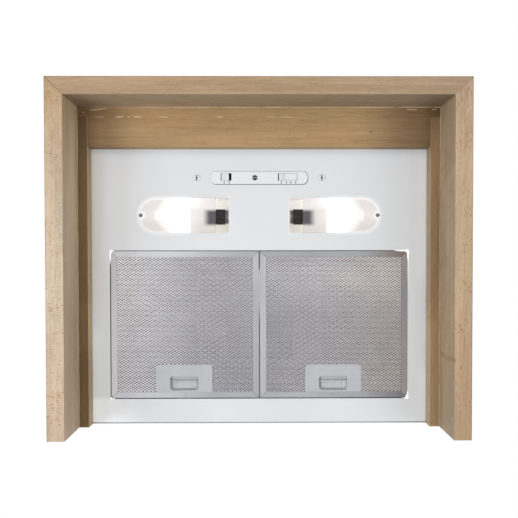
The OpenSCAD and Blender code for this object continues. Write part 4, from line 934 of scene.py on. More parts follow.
class Mould:
    """Collects the faces of one piece from lofts, plates, turned forms and tubes."""

    def __init__(self):
        self.points = []
        self.faces = []

    def add(self, points, place=None):
        """Takes in points and gives their numbers."""
        start = len(self.points)
        self.points += [place @ Vector(p) if place else Vector(p) for p in points]
        return list(range(start, len(self.points)))

    def loft(self, rings, place=None):
        """Joins closed rings of as many points each, one after the other, and closes both ends."""
        last = None
        for ring in rings:
            now = self.add(ring, place)
            if last:
                n = len(now)
                for i in range(n):
                    j = (i + 1) % n
                    self.faces.append((last[i], last[j], now[j], now[i]))
            else:
                self.faces.append(tuple(reversed(now)))
            last = now
        self.faces.append(tuple(last))
        return self

    def plate(self, outline, holes, z0, z1, place=None):
        """A flat plate from an outline and its holes."""
        loops = [outline, *holes]
        flat = [p for loop in loops for p in loop]
        under = self.add([(x, y, z0) for x, y in flat], place)
        over = self.add([(x, y, z1) for x, y in flat], place)
        for a, b, c in tessellate_polygon([[(x, y, 0) for x, y in loop] for loop in loops]):
            self.faces.append((under[a], under[b], under[c]))
            self.faces.append((over[c], over[b], over[a]))
        start = 0
        for loop in loops:
            n = len(loop)
            for i in range(n):
                j = start + (i + 1) % n
                self.faces.append((under[start + i], under[j], over[j], over[start + i]))
            start += n
        return self

    def turned(self, profile, steps, place=None, flute=None):
        """A form turned about Z from (radius, height) points, with flutes cut between angles."""
        last = None
        for r, h in profile:
            if r == 0:
                now = self.add([(0, 0, h)], place) * steps
            else:
                inset = flute or (lambda i, h: 0.0)
                now = self.add([(*turn(360 * i / steps, r - inset(i, h)), h)
                                for i in range(steps)], place)
            if last:
                for i in range(steps):
                    around = [last[i - 1], last[i], now[i], now[i - 1]]
                    kept = [c for k, c in enumerate(around) if c != around[k - 1]]
                    if len(kept) > 2:
                        self.faces.append(tuple(kept))
            last = now
        return self

    def tube(self, path, radii, sides):
        """A round wire along a path, of one radius or a radius for each point, closed at both ends."""
        points = [Vector(p) for p in path]
        normal = Vector((0, 0, 1))
        rings = []
        for i, p in enumerate(points):
            ahead = (points[min(i + 1, len(points) - 1)] - points[max(i - 1, 0)]).normalized()
            normal = (normal - ahead * normal.dot(ahead)).normalized()
            side = ahead.cross(normal)
            r = radii[i] if isinstance(radii, list) else radii
            rings.append([p + r * (math.cos(a) * normal + math.sin(a) * side)
                          for a in (2 * math.pi * k / sides for k in range(sides))])
        return self.loft(rings)

    def piece(self, name, look, body, slot, replaced=(), edge=0.0, smooth_below=35.0):
        """Makes the object, rounds its edges, sets what it rides on and hides the nodes that it
        replaces; the slot that it stands for is not used.
        """
        bm = bmesh.new()
        for p in self.points:
            bm.verts.new(p)
        bm.verts.ensure_lookup_table()
        for f in self.faces:
            bm.faces.new([bm.verts[i] for i in f])
        bmesh.ops.remove_doubles(bm, verts=bm.verts, dist=0.001 * MM)
        if edge:
            bmesh.ops.dissolve_limit(
                bm, angle_limit=math.radians(0.5), verts=bm.verts, edges=bm.edges)
        bmesh.ops.recalc_face_normals(bm, faces=bm.faces)
        mesh = bpy.data.meshes.new(name)
        bm.to_mesh(mesh)
        bm.free()
        mesh.shade_smooth()
        mesh.set_sharp_from_angle(angle=math.radians(smooth_below))
        made = add_object(name, mesh)
        mesh.materials.append(finish(look))
        if edge:
            round_edges(made, edge)
        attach(made, body)
        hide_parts(*replaced)
        return made


def add_object(name, data):
    """A new object in the scene."""
    made = bpy.data.objects.new(name, data)
    bpy.context.collection.objects.link(made)
    return made


def round_edges(made, width, steps=2):
    """Rounds the sharp edges of a piece, without changing its own mesh."""
    bevel = made.modifiers.new("soft_edges", "BEVEL")
    bevel.width = width
    bevel.segments = steps
    bevel.limit_method = "ANGLE"
    bevel.angle_limit = math.radians(32)
    bevel.harden_normals = True


def dress(node, look, edge=0.0, steps=2):
    """Gives a node of the frame its finish and, where it has sheet or sawn edges, soft ones."""
    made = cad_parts[node]
    for slot in made.material_slots:
        slot.material = finish(look)
    if edge:
        weld = made.modifiers.new("joined", "WELD")
        weld.merge_threshold = 0.002 * MM
        flat = made.modifiers.new("flat_faces", "DECIMATE")
        flat.decimate_type = "DISSOLVE"
        flat.angle_limit = math.radians(0.3)
        round_edges(made, edge, steps)
    return made


def dress_all(look, edge, *nodes, steps=2):
    """Dresses several nodes alike, with an edge in millimetres."""
    for node in nodes:
        dress(node, look, edge * MM, steps)


class HOOD_OT_surround(bpy.types.Operator):
    """The beech boards, battens and filler board, with glue in their joints"""
    bl_idname = "hood.surround"
    bl_label = "Beech surround"

    def execute(self, context):
        edge = context.scene.hood_wood.edge
        for side in ("front", *SIDES):
            dress(f"{side}_board", f"beech_{side}", edge)
        for side in SIDES:
            dress(f"{side}_batten", f"beech_{side}_batten", edge)
        dress("front_batten", "beech_filler", edge)
        dress("filler_board", "beech_filler", 0.6 * edge)
        self.glue_lines()
        return {"FINISHED"}

    def glue_lines(self):
        """Dried glue in the joints: lines along the boards, drops behind the front batten."""
        draw = random.Random(4)
        drops = Mould()
        for start, end, width in ((-249, -235, 0.45), (-217, -205, 0.9), (-199, -195, 0.7),
                                  (-190, -177, 0.9), (-152, -138, 0.7), (-64, -55, 0.6),
                                  (11, 26, 0.4), (30, 50, 0.45)):
            glue_bead(drops, draw, (start * MM, BATTEN_REAR), (end * MM, BATTEN_REAR), width * MM)
        front = BOARD_REAR + 3.6 * MM
        for x0, off0, x1, off1, width in ((-256, 1.2, -229, -1.4, 0.7), (224, 0, 239, 0.4, 0.7),
                                          (262, 0, 269, 0.3, 0.6)):
            glue_bead(drops, draw, (x0 * MM, front + off0 * MM), (x1 * MM, front + off1 * MM),
                      width * MM)
        glue_bead(drops, draw, mm(-266, -479), mm(-264, -479), 0.9 * MM)
        drops.piece("glue_drops", "joint_glue", "hood", "beech_inner")
        inner = high("left_board").x
        seam = Mould()
        glue_line(seam, draw, (-0.190, BOARD_REAR), (-inner, BOARD_REAR), 0.8 * MM)
        glue_line(seam, draw, (-0.262, BOARD_REAR), (-0.190, BOARD_REAR), 0.35 * MM)
        glue_line(seam, draw, (inner, BOARD_REAR + 5 * MM), (inner, -2 * MM), 0.35 * MM)
        glue_line(seam, draw, (-inner, BOARD_REAR + 2 * MM), (-inner, -2 * MM), 0.45 * MM)
        steps = 24
        for side, width in ((-1, 0.45 * MM), (1, 0.6 * MM)):
            corner = (side * -inner - side * 0.1 * MM, BOARD_REAR + 0.1 * MM)
            rise = [(*corner, FOOT_Z + (LEDGE_Z - FOOT_Z) * i / steps)
                    for i in range(1, steps + 1)]
            swell = [width * draw.uniform(0.7, 1.1) for _ in rise]
            seam.tube(rise, swell, 6)
        seam.piece("glue_seam", "joint_glue", "hood", "beech_inner")


def glue_line(mould, draw, start, end, width):
    """A line of glue along a joint, in beads with small breaks between them."""
    start, end = Vector(start), Vector(end)
    whole = (end - start).length
    run = 0.0
    while run < whole:
        length = min(draw.uniform(40, 110) * MM, whole - run)
        if length > 4 * MM:
            glue_bead(mould, draw, start.lerp(end, run / whole),
                      start.lerp(end, (run + length) / whole), width * draw.uniform(0.8, 1.1))
        run += length + draw.uniform(0.3, 2) * MM


def glue_bead(mould, draw, start, end, width):
    """A flat bead of glue below a joint, tapering at both ends."""
    start, end = Vector(start), Vector(end)
    side = (end - start).normalized().orthogonal() * -1
    steps = max(6, round((end - start).length / (2.5 * MM)))
    rings = []
    for i in range(steps + 1):
        t = i / steps
        r = width * max(0.15, math.sin(math.pi * t)) ** 0.35 * draw.uniform(0.8, 1.15)
        middle_line = start.lerp(end, t)
        rings.append([(*(middle_line + side * d), LEDGE_Z - 0.55 * h)
                      for d, h in arc((0, 0), r, -20, 200, 6)])
    mould.loft(rings)


class HOOD_OT_panel(bpy.types.Operator):
    """The white bottom panel and the divider rail above the slot between the filters"""
    bl_idname = "hood.panel"
    bl_label = "Bottom panel"

    def execute(self, context):
        look = context.scene.hood_sheet
        dress("bottom_panel", "panel_powder", 0.3 * look.bend)
        dress("divider_rail", "divider_powder", 0.3 * look.bend)
        self.rear_seal()
        self.rims()
        return {"FINISHED"}

    def rims(self):
        """The folded rims along the sides of the filter opening, with small plates at three of its
        corners, which carry painted lamp light and painted shade.
        """
        thick, gap, short = mm(0.6, 1.1, 5)
        x, front, rear = FILTER_X + gap, RAIL_FRONT - gap, FILTER_REAR + gap
        rim = Mould()
        for side, bit in ((-1, 6 * MM), (1, 20 * MM)):
            outline = [(x - bit, front), (x, front), (x, rear), (x - short, rear),
                       (x - short, rear + thick), (x + thick, rear + thick),
                       (x + thick, front - thick), (x - bit, front - thick)]
            rim.plate([(side * px, py) for px, py in outline], [],
                      PANEL_Z + 0.7 * MM, PANEL_Z + 7 * MM)
        clip = looks("filter").corner
        near_x, near_front, near_rear = FILTER_X + 0.3 * MM, front + 0.4 * MM, rear - 0.8 * MM
        out_x, out_y = mm(-1.4, -1.0)
        for side, near_y, way, long_x, long_y in ((-1, near_front, 1, *mm(6, 17)),
                                                  (1, near_front, 1, *mm(20, 14)),
                                                  (1, near_rear, -1, *mm(8, 10))):
            rim.plate([(side * (near_x - dx), near_y + way * dy) for dx, dy in (
                (long_x, 0.0), (clip, 0.0), (0.0, clip), (0.0, long_y), (out_x, long_y),
                (out_x, out_y), (long_x, out_y))], [], PANEL_Z + 3.4 * MM, PANEL_Z + 7.2 * MM)
        rim.piece("opening_rims", "rim_powder", "hood", "white_steel", edge=0.15 * MM)

    def rear_seal(self):
        """A strip of rubber in the joint between the panel and the back panel."""
        draw = random.Random(9)
        y = low("back_panel").y - 0.1 * MM
        x0, x1 = low("bottom_panel").x + 4 * MM, high("bottom_panel").x - 14 * MM
        steps = 90
        path, swell = [], []
        for i in range(steps + 1):
            t = i / steps
            path.append((x0 + (x1 - x0) * t, y, PANEL_Z + 0.2 * MM))
            full = 0.55 + 0.30 * max(0.0, 1 - 12 * t) + 0.20 * max(0.0, 5 * t - 4)
            swell.append(full * MM * draw.uniform(0.96, 1.04))
        Mould().tube(path, swell, 8).piece(
            "rear_seal", "seal_rubber", "hood", "black_plastic", smooth_below=60)


class HOOD_OT_canopy(bpy.types.Operator):
    """The canopy, back panel, top plate, chimney cover and its bracket"""
    bl_idname = "hood.canopy"
    bl_label = "Canopy and chimney"

    def execute(self, context):
        look = context.scene.hood_sheet
        for node in ("canopy_front", "canopy_left", "canopy_right", "back_panel", "top_plate"):
            dress(node, "white_powder", 0.4 * look.bend)
        dress("chimney_cover", "white_powder", 0.5 * look.bend, 3)
        dress("chimney_bracket", "zinc_spangle", 0.4 * look.bend)
        self.welds(look.weld)
        return {"FINISHED"}

    def welds(self, radius):
        """Ground welds up the two front corners of the canopy."""
        draw = random.Random(7)
        foot, head = low("canopy_front"), low("top_plate")
        seam = Mould()
        for side in (-1, 1):
            start = Vector((side * -foot.x, foot.y, foot.z + radius))
            end = Vector((side * -head.x, head.y, head.z))
            inwards = Vector((-side, 1, 0)) * 0.45 * radius
            steps = 60
            swell = [radius * draw.uniform(0.94, 1.06) for _ in range(steps + 1)]
            seam.tube([start.lerp(end, i / steps) + inwards for i in range(steps + 1)], swell, 10)
        seam.piece("canopy_welds", "white_powder", "hood", "white_steel", smooth_below=60)


class HOOD_OT_filters(bpy.types.Operator):
    """The two grease filters: mitred rails, the expanded net and the coarser nets behind it"""
    bl_idname = "hood.filters"
    bl_label = "Grease filters"

    def execute(self, context):
        look = context.scene.hood_filter
        for side in SIDES:
            self.rails(look, side)
            self.nets(look, side)
        return {"FINISHED"}

    def rails(self, look, side):
        """Four folded rails with mitred corners, clipped outside, the front one with two tabs."""
        node = f"{side}_filter_frame"
        lo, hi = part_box(node)
        near, far = (lo.x, hi.x) if side == "right" else (hi.x, lo.x)
        near -= SIDES[side] * 0.55 * MM
        front = RAIL_FRONT - 0.4 * MM
        wide, deep = 10 * MM, 9.5 * MM
        cx, cy = (near + far) / 2, (front + hi.y) / 2
        half_x, half_y = abs(far - near) / 2, (hi.y - front) / 2
        profile = folded_rail(hi.z - lo.z)
        for quarter, name in enumerate(("front", "right", "rear", "left")):
            across = name in ("front", "rear")
            half_l, half_d = (half_x, half_y) if across else (half_y, half_x)
            scale, mitre = (deep, wide) if across else (wide, deep)
            rings = []
            for end in (-1, 1):
                meets = quarter + (1 if end > 0 else 0)
                outer = meets in ((1, 2) if side == "right" else (0, 3, 4))
                clip = look.corner if outer else 0.0
                rings.append([
                    (end * (half_l - max(u * mitre, clip - u * mitre) - look.mitre_gap / 2),
                     u * scale - half_d, lo.z + z)
                    for u, z in profile
                ])
            place = Matrix.Translation((cx, cy, 0)) @ Matrix.Rotation(quarter * math.pi / 2, 4, "Z")
            rail = Mould().loft(rings, place)
            if name == "front":
                self.tabs(rail, cx, front, lo)
            made = rail.piece(f"{side}_filter_{name}_rail", f"rail_along_{'x' if across else 'y'}",
                              f"{side}_filter", "filter_rail", [node])
            if name == "rear":
                self.bolt_slot(made, side)
                self.butt_joint(made, cx, (hi.y - deep, hi.y), lo.z)

    def tabs(self, rail, cx, front, lo):
        """The two tabs that hook over the panel's front edge."""
        z0, half = PANEL_Z + 1.2 * MM, 10 * MM
        for x in mm(-70, 70):
            rail.plate(rounded(cx + x - half, lo.y, cx + x + half, front + 0.5 * MM, 0.4 * MM), [],
                       z0, z0 + 1.0 * MM)

    def bolt_slot(self, made, side):
        """The slot in the rear rail that the latch's bolt passes through."""
        latch = f"{side}_latch"
        x, half = middle(latch).x, 9.8 * MM
        cut(made, Mould().plate(
            block(x - half, FILTER_REAR - 3 * MM, x + half, FILTER_REAR + 1 * MM), [],
            PANEL_Z + 1.0 * MM, high(latch).z + 0.3 * MM))

    def butt_joint(self, made, x, depth, z):
        """The joint in the middle of the rear rail, where the frame's strip meets its start."""
        half, past, deep = mm(0.25, 1, 0.6)
        cut(made, Mould().plate(
            block(x - half, depth[0] - past, x + half, depth[1] + past), [], z - past, z + deep))

    def nets(self, look, side):
        """The fine net in front and three coarser ones behind it."""
        body = f"{side}_filter"
        lo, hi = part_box(f"{body}_mesh")
        rooms = []
        for moving, beside, ahead in (("latch", 0.9, 8.6), ("latch_spring", 1, 1)):
            least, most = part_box(f"{side}_{moving}")
            rooms.append((least.x - beside * MM, most.x + beside * MM, least.y - ahead * MM))
        lean = math.tan(look.skew) * (1.0 if side == "left" else 0.5)
        strand = (look.strand_w, look.strand_t, look.strand_tilt, look.strand_lean)
        net(lo, hi, (lo.z + hi.z) / 2, look.long_way, look.short_way, strand, lean, rooms).piece(
            f"{body}_net", "net_metal", body, "filter_mesh", [f"{body}_mesh"], smooth_below=20)
        thick, ratio = high(f"{body}_core").z - hi.z, look.back_ratio
        for i, share in enumerate((0.14, 0.5, 0.86)):
            strand = (look.back_width * look.strand_w, 1.2 * look.strand_t,
                      (-1) ** i * look.strand_tilt, 0.0)
            net(lo, hi, hi.z + share * thick, ratio * look.long_way, ratio * look.short_way,
                strand, -lean, rooms).piece(f"{body}_layer_{i + 1}", "back_net_metal", body,
                                            "filter_mesh", [f"{body}_core"], smooth_below=20)


def folded_rail(height):
    """Section of a rail: (share of its width inwards, height), folded from strip with round bends."""
    wall, bend_in, bend_up, flat_from = 0.1, 0.12, 1.2 * MM, 0.225
    top, thick, worn = height, 1.0 * MM, 0.25 * MM
    lower = [(u * bend_in, w * bend_up) for u, w in arc((1, 1), 1, 270, 180, 5)]
    upper = [(u * bend_in, top + w * bend_up) for u, w in arc((1, -1), 1, 180, 90, 5)]
    return ([(1.0, worn), (0.985, 0.0), (flat_from, 0.0)] + lower + upper
            + [(flat_from, top), (0.985, top), (1.0, top - worn), (1.0, top - thick),
               (flat_from, top - thick), (wall, top - thick), (wall, thick),
               (flat_from, thick), (1.0, thick)])


def cut(made, cutter):
    """Takes the cutter's shape out of a piece for good."""
    tool_mesh = bpy.data.meshes.new("cutter")
    tool_mesh.from_pydata(cutter.points, [], cutter.faces)
    tool = add_object("cutter", tool_mesh)
    change = made.modifiers.new("cut", "BOOLEAN")
    change.operation = "DIFFERENCE"
    change.solver = "EXACT"
    change.object = tool
    bpy.context.view_layer.update()
    result = bpy.data.meshes.new_from_object(
        made.evaluated_get(bpy.context.evaluated_depsgraph_get()))
    made.modifiers.remove(change)
    made.data = result
    bpy.data.objects.remove(tool)


def net(lo, hi, z, long_way, short_way, strand, lean, rooms):
    """Expanded sheet: rows of zigzag strands that meet where one row's peaks touch the next row."""
    mould = Mould()
    width, thick, tilt, turned = strand
    step_x = long_way / 2
    rows = round((hi.y - lo.y) / (short_way / 2))
    step_y = (hi.y - lo.y) / rows
    swing = 0.5 * step_y - 0.22 * width
    section = []
    for a, b in ((-1, -1), (1, -1), (1, 1), (-1, 1)):
        y, h = a * width / 2, b * thick / 2
        flat = y * math.cos(tilt) - h * math.sin(tilt)
        section.append((flat * math.sin(turned), flat * math.cos(turned),
                        y * math.sin(tilt) + h * math.cos(tilt)))
    for row in range(rows):
        y = lo.y + (row + 0.5) * step_y
        slide = lean * (y - (lo.y + hi.y) / 2)
        runs = [[]]
        for k in range(math.ceil((lo.x - slide) / step_x), math.floor((hi.x - slide) / step_x) + 1):
            x = slide + k * step_x
            if any(x0 < x < x1 and y > front for x0, x1, front in rooms):
                runs.append([])
                continue
            shift = y + swing * (-1) ** (k + row)
            runs[-1].append([(x + sx, shift + sy, z + sz) for sx, sy, sz in section])
        for run in runs:
            if len(run) > 1:
                mould.loft(run)
    return mould


class HOOD_OT_latches(bpy.types.Operator):
    """The latch plates with their finger recess, the latches and their springs"""
    bl_idname = "hood.latches"
    bl_label = "Filter latches"

    def execute(self, context):
        for side in SIDES:
            dress(f"{side}_latch_plate", "plate_paint", 0.35 * MM, 3)
            self.cup(side)
            self.spring(side)
        return {"FINISHED"}

    def cup(self, side):
        """A latch: a pressed cup with sloped sides behind a sloped lip, and its bolt."""
        node = f"{side}_latch"
        lo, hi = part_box(node)
        lip, rear = lo.y + 9.1 * MM, hi.y - 5.9 * MM
        cup = Mould()
        outer = corners(lo.x, lip, hi.x, rear, 0.5 * MM, 0.5 * MM)
        rings = [[(x, y, z) for x, y in outer] for z in (hi.z, lo.z)]
        for beside, ahead, behind, rise in (
                (0.0, 0.0, 0.0, 0.0), (0.5, 0.0, 0.2, 0.5), (2.0, 0.1, 0.6, 2.2),
                (3.8, 0.2, 1.2, 3.9), (5.2, 0.3, 2.0, 4.8), (6.4, 0.5, 3.0, 5.2)):
            inner = corners(lo.x + (2.2 + beside) * MM, lip + (0.8 + ahead) * MM,
                            hi.x - (2.2 + beside) * MM, hi.y - (17.2 + behind) * MM,
                            0.4 * MM, 4.5 * MM)
            rings.append([(x, y, lo.z + rise * MM) for x, y in inner])
        cup.loft(rings)
        slot, tongue = lip - 0.6 * MM, lo.z + 2.8 * MM
        cup.loft([[(x, y, z) for y, z in (
            (lo.y, lo.z), (lo.y + 2.3 * MM, lo.z), (slot, lo.z + 2 * MM), (slot, tongue),
            (lip + 0.3 * MM, tongue), (lip + 0.3 * MM, hi.z - 0.02 * MM),
            (lo.y, hi.z - 0.02 * MM))] for x in (lo.x, hi.x)])
        under = PANEL_Z + 1.3 * MM
        cup.loft([[(middle(node).x + dx, y, z) for y, z in (
            (rear - 0.5 * MM, under), (hi.y - 1 * MM, under), (hi.y, under + 1 * MM),
            (hi.y, under + 2.8 * MM), (rear - 0.5 * MM, under + 2.8 * MM))]
            for dx in (-9.5 * MM, 9.5 * MM)])
        cup.piece(f"{side}_latch_cup", "latch_paint", node, "latch_metal", [node])

    def spring(self, side):
        """A wound spring made at its rest length, riding on the filter; on the hood the latch shortens
        it as it is pulled.
        """
        node = f"{side}_latch_spring"
        lo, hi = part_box(node)
        wire, turns, per_turn = 0.35 * MM, 7, 16
        radius = (hi.x - lo.x) / 2 - wire
        centre = (lo + hi) / 2
        steps = per_turn * turns
        path = []
        for i in range(steps + 1):
            a = 2 * math.pi * turns * i / steps
            y = lo.y + wire + (hi.y - lo.y - 2 * wire) * i / steps
            path.append((centre.x + radius * math.cos(a), y, centre.z + radius * math.sin(a)))
        made = Mould().tube(path, wire, 8).piece(
            f"{side}_spring", "bright_screw", f"{side}_filter", "screw_steel", [node],
            smooth_below=80)
        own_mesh(made)


class HOOD_OT_lamps(bpy.types.Operator):
    """The lamp housings, frosted covers, lampholders and bulbs"""
    bl_idname = "hood.lamps"
    bl_label = "Lamps"

    def execute(self, context):
        look = context.scene.hood_lamp
        for side, sign in SIDES.items():
            dress(f"{side}_lamp_box", "lamp_white", 0.25 * MM)
            dress(f"{side}_diffuser", "frosted_cover", 0.5 * MM, 3)
            self.holder(look, side, sign)
            self.bulb(side, sign)
        return {"FINISHED"}

    def holder(self, look, side, sign):
        """A moulded holder with ribs round its body, on a metal neck and a bracket."""
        node = f"{side}_lampholder"
        lo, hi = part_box(node)
        length, r = hi.x - lo.x, (hi.y - lo.y) / 2
        place = along_x(node, sign)
        neck = length - 17 * MM
        lip, rim = neck + 3.2 * MM, length - 3.4 * MM
        inner, floor, soft, step, groove = mm(7.15, 2, 0.8, 0.1, 0.9)
        per_rib = 4
        steps = per_rib * look.ribs

        def flute(i, h):
            return groove if lip < h < rim and i % per_rib in (2, 3) else 0.0

        Mould().turned([
            (0, neck), (r - soft, neck), (r, neck + soft), (r, lip), (r - step, lip + step),
            (r - step, rim - step), (r, rim), (r, length - soft), (r - soft, length),
            (inner + soft, length), (inner, length - soft), (inner, neck + floor),
            (0, neck + floor)], steps, place, flute
        ).piece(f"{side}_holder", "holder_plastic", "hood", "lampholder", [node])
        stem = [mm(*point) for point in (
            (0, 0), (10.5, 0), (10.5, 2.2), (10.2, 2.5), (10.4, 2.8), (10.7, 3.1))]
        Mould().turned([*stem, (stem[-1][0], neck), (0, neck)], steps, place).piece(
            f"{side}_holder_neck", "neck_metal", "hood", "lampholder", [node])
        Mould().plate(rounded(*mm(-11, -17, 11, 17, 2)), [], 2.6 * MM, 3.8 * MM, place).piece(
            f"{side}_holder_bracket", "bracket_metal", "hood", "lampholder", edge=0.25 * MM)

    def bulb(self, side, sign):
        """A threaded cap and a candle of opal glass."""
        node = f"{side}_bulb"
        lo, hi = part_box(node)
        place = along_x(node, sign)
        length, r = hi.x - lo.x, (hi.y - lo.y) / 2
        cap_l, cap_r = 24 * MM, 7 * MM
        turns, per_turn = 5, 8
        cap = [(0, 0), (3 * MM, 0), (3.4 * MM, 1.2 * MM), (cap_r - 0.8 * MM, 2.6 * MM)]
        for i in range(turns * per_turn + 1):
            wave = 0.35 * MM * math.cos(2 * math.pi * i / per_turn)
            cap.append((cap_r - 0.4 * MM + wave, 3 * MM + 2.8 * MM * i / per_turn))
        cap += [(cap_r, cap_l - 5 * MM), (cap_r, cap_l), (0, cap_l)]
        Mould().turned(cap, 32, place).piece(
            f"{side}_bulb_cap", "cap_metal", "hood", "bulb_glass", [node])
        shape = [(0.42, 0.0), (0.54, 0.04), (0.755, 0.133), (0.925, 0.24), (1.0, 0.36),
                 (0.955, 0.507), (0.80, 0.667), (0.57, 0.813), (0.34, 0.92), (0.14, 0.985)]
        curve = smooth([(q * r, cap_l + h * (length - cap_l)) for q, h in shape], 4)
        Mould().turned([(0, cap_l), *curve, (0, length)], 40, place).piece(
            f"{side}_bulb_glass", "bulb_glass", "hood", "bulb_glass", [node], smooth_below=60)


def along_x(node, sign):
    """Places a form turned about Z so that it lies along X, outwards from a node's inner end."""
    centre, start = middle(node), (low(node) if sign > 0 else high(node)).x
    return (Matrix.Translation((start, centre.y, centre.z))
            @ Matrix.Rotation(sign * math.pi / 2, 4, "Y"))


class HOOD_OT_switch(bpy.types.Operator):
    """The slider bezel with its windows, seam and scale marks, and the two sliders"""
    bl_idname = "hood.switch"
    bl_label = "Sliders"

    def execute(self, context):
        look = context.scene.hood_switch
        self.bezel(look)
        dress("switch_body", "black_plastic", 0.3 * MM)
        for slider in ("light_slider", "fan_slider"):
            dress(slider, "bezel_plastic", 0.35 * MM, 3)
            self.knob_ribs(look, slider)
        self.scale_marks()
        return {"FINISHED"}

    def bezel(self, look):
        """The cover strip over its black seal, which shows most along the straight sides and stands in
        partly for the shade in the gap round the bezel.
        """
        lo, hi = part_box("slider_bezel")
        centre = (lo + hi) / 2
        length, width = hi.x - lo.x, hi.y - lo.y
        place = Matrix.Translation((centre.x, centre.y, 0))
        windows = [self.window(node, centre) for node in ("light_slider", "fan_slider")]
        screw_x = middle("bezel_screw").x - centre.x
        hole = [turn(-15 * i, 1.6 * MM, (screw_x, 0)) for i in range(24)]
        end, edge_x, edge_y = mm(7.5, 12, 3)
        cover = self.outline(length - 1.0 * MM, width - 1.9 * look.seam, end)
        # The cover sits a little to the left and to the front, so that more of the dark seal shows at
        # the right end and the rear, as painted shade
        Mould().plate([(x - 0.3 * MM, y - 0.12 * MM) for x, y in cover], [*windows, hole], lo.z,
                      hi.z, place).piece("bezel_cover", "bezel_plastic", "hood", "white_plastic",
                                         ["slider_bezel"], edge=0.3 * MM)
        room = rounded(-length / 2 + edge_x, -width / 2 + edge_y, length / 2 - edge_x,
                       width / 2 - edge_y, 2 * MM)
        Mould().plate(self.outline(length, width, end), [room], hi.z - 0.35 * MM, hi.z, place).piece(
            "bezel_seal", "bezel_seal", "hood", "black_plastic", ["slider_bezel"])

    def outline(self, length, width, end):
        """A strip's outline with straight sides and two flattened round ends."""
        x = length / 2 - end
        curve = [(end * math.cos(a), width / 2 * math.sin(a))
                 for a in (math.pi * (i / 20 - 0.5) for i in range(21))]
        return [(x + cx, cy) for cx, cy in curve] + [(-x - cx, -cy) for cx, cy in curve]

    def window(self, slider, centre):
        """The window that a slider's knob moves in, level with the knob."""
        x0, x1 = mm(*{"light_slider": (-59.7, -43.2), "fan_slider": (28.9, 59.8)}[slider])
        y, half = middle(slider).y, 5.8 * MM
        return [(x - centre.x, yy - centre.y) for x, yy in
                rounded(x0, y - half, x1, y + half, 0.6 * MM, 3)]

    def knob_ribs(self, look, slider):
        """Grip ribs across a slider's knob."""
        lo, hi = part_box(slider)
        x0, x1 = lo.x, lo.x + (11.2 * MM if slider == "light_slider" else 6.8 * MM)
        y = (lo.y + hi.y) / 2
        ribs = Mould()
        half, thick = 4.2 * MM, 0.45 * MM
        for i in range(look.ribs):
            x = x0 + (x1 - x0) * (i + 1) / (look.ribs + 1)
            ribs.loft([[(x + dx, y + end * half, lo.z - dz)
                        for dx, dz in arc((0, 0), thick, 0, 180, 6)] for end in (-1, 1)])
        ribs.piece(f"{slider}_ribs", "bezel_plastic", slider, "white_plastic", smooth_below=60)

    def scale_marks(self):
        """Plain marks below the windows, one for each place of a slider."""
        z = low("slider_bezel").z
        marks = Mould()
        half_x, half_y, y = mm(0.7, 1.6, -375.7)
        for x in mm(-54.5, -46.7, 34.0, 41.8, 48.9, 56.4):
            marks.plate(rounded(x - half_x, y - half_y, x + half_x, y + half_y, 0.4 * MM, 3), [],
                        z - 0.08 * MM, z)
        marks.piece("scale_marks", "mark_grey", "hood", "black_plastic")


class HOOD_OT_blower(bpy.types.Operator):
    """The fan housing, impeller, shaft, motor, its bracket and the capacitor"""
    bl_idname = "hood.blower"
    bl_label = "Blower"

    def execute(self, context):
        dress_all("zinc_spangle", 0.3, "blower_wall", "blower_left_side", "blower_right_side",
                  "motor_bracket")
        dress_all("black_plastic", 0.2, "impeller")
        dress_all("bright_screw", 0.4, "motor_shaft")
        dress_all("motor_shell", 0.6, "motor", steps=3)
        dress_all("can_plastic", 0.8, "capacitor", steps=3)
        return {"FINISHED"}


class HOOD_OT_outlet(bpy.types.Operator):
    """The duct collar with its two flaps on one pin"""
    bl_idname = "hood.outlet"
    bl_label = "Duct collar"

    def execute(self, context):
        dress_all("black_plastic", 0.4, "outlet_collar")
        dress_all("black_plastic", 0.3, "front_flap", "rear_flap")
        dress_all("bright_screw", 0.3, "flap_pin")
        return {"FINISHED"}


class HOOD_OT_wiring(bpy.types.Operator):
    """The junction box with its lid and terminal block, and the cord gland"""
    bl_idname = "hood.wiring"
    bl_label = "Wiring parts"

    def execute(self, context):
        dress_all("black_plastic", 0.5, "junction_box", "junction_lid")
        dress_all("terminal_plastic", 0.3, "terminal_block")
        dress_all("black_plastic", 0.4, "cable_gland")
        return {"FINISHED"}


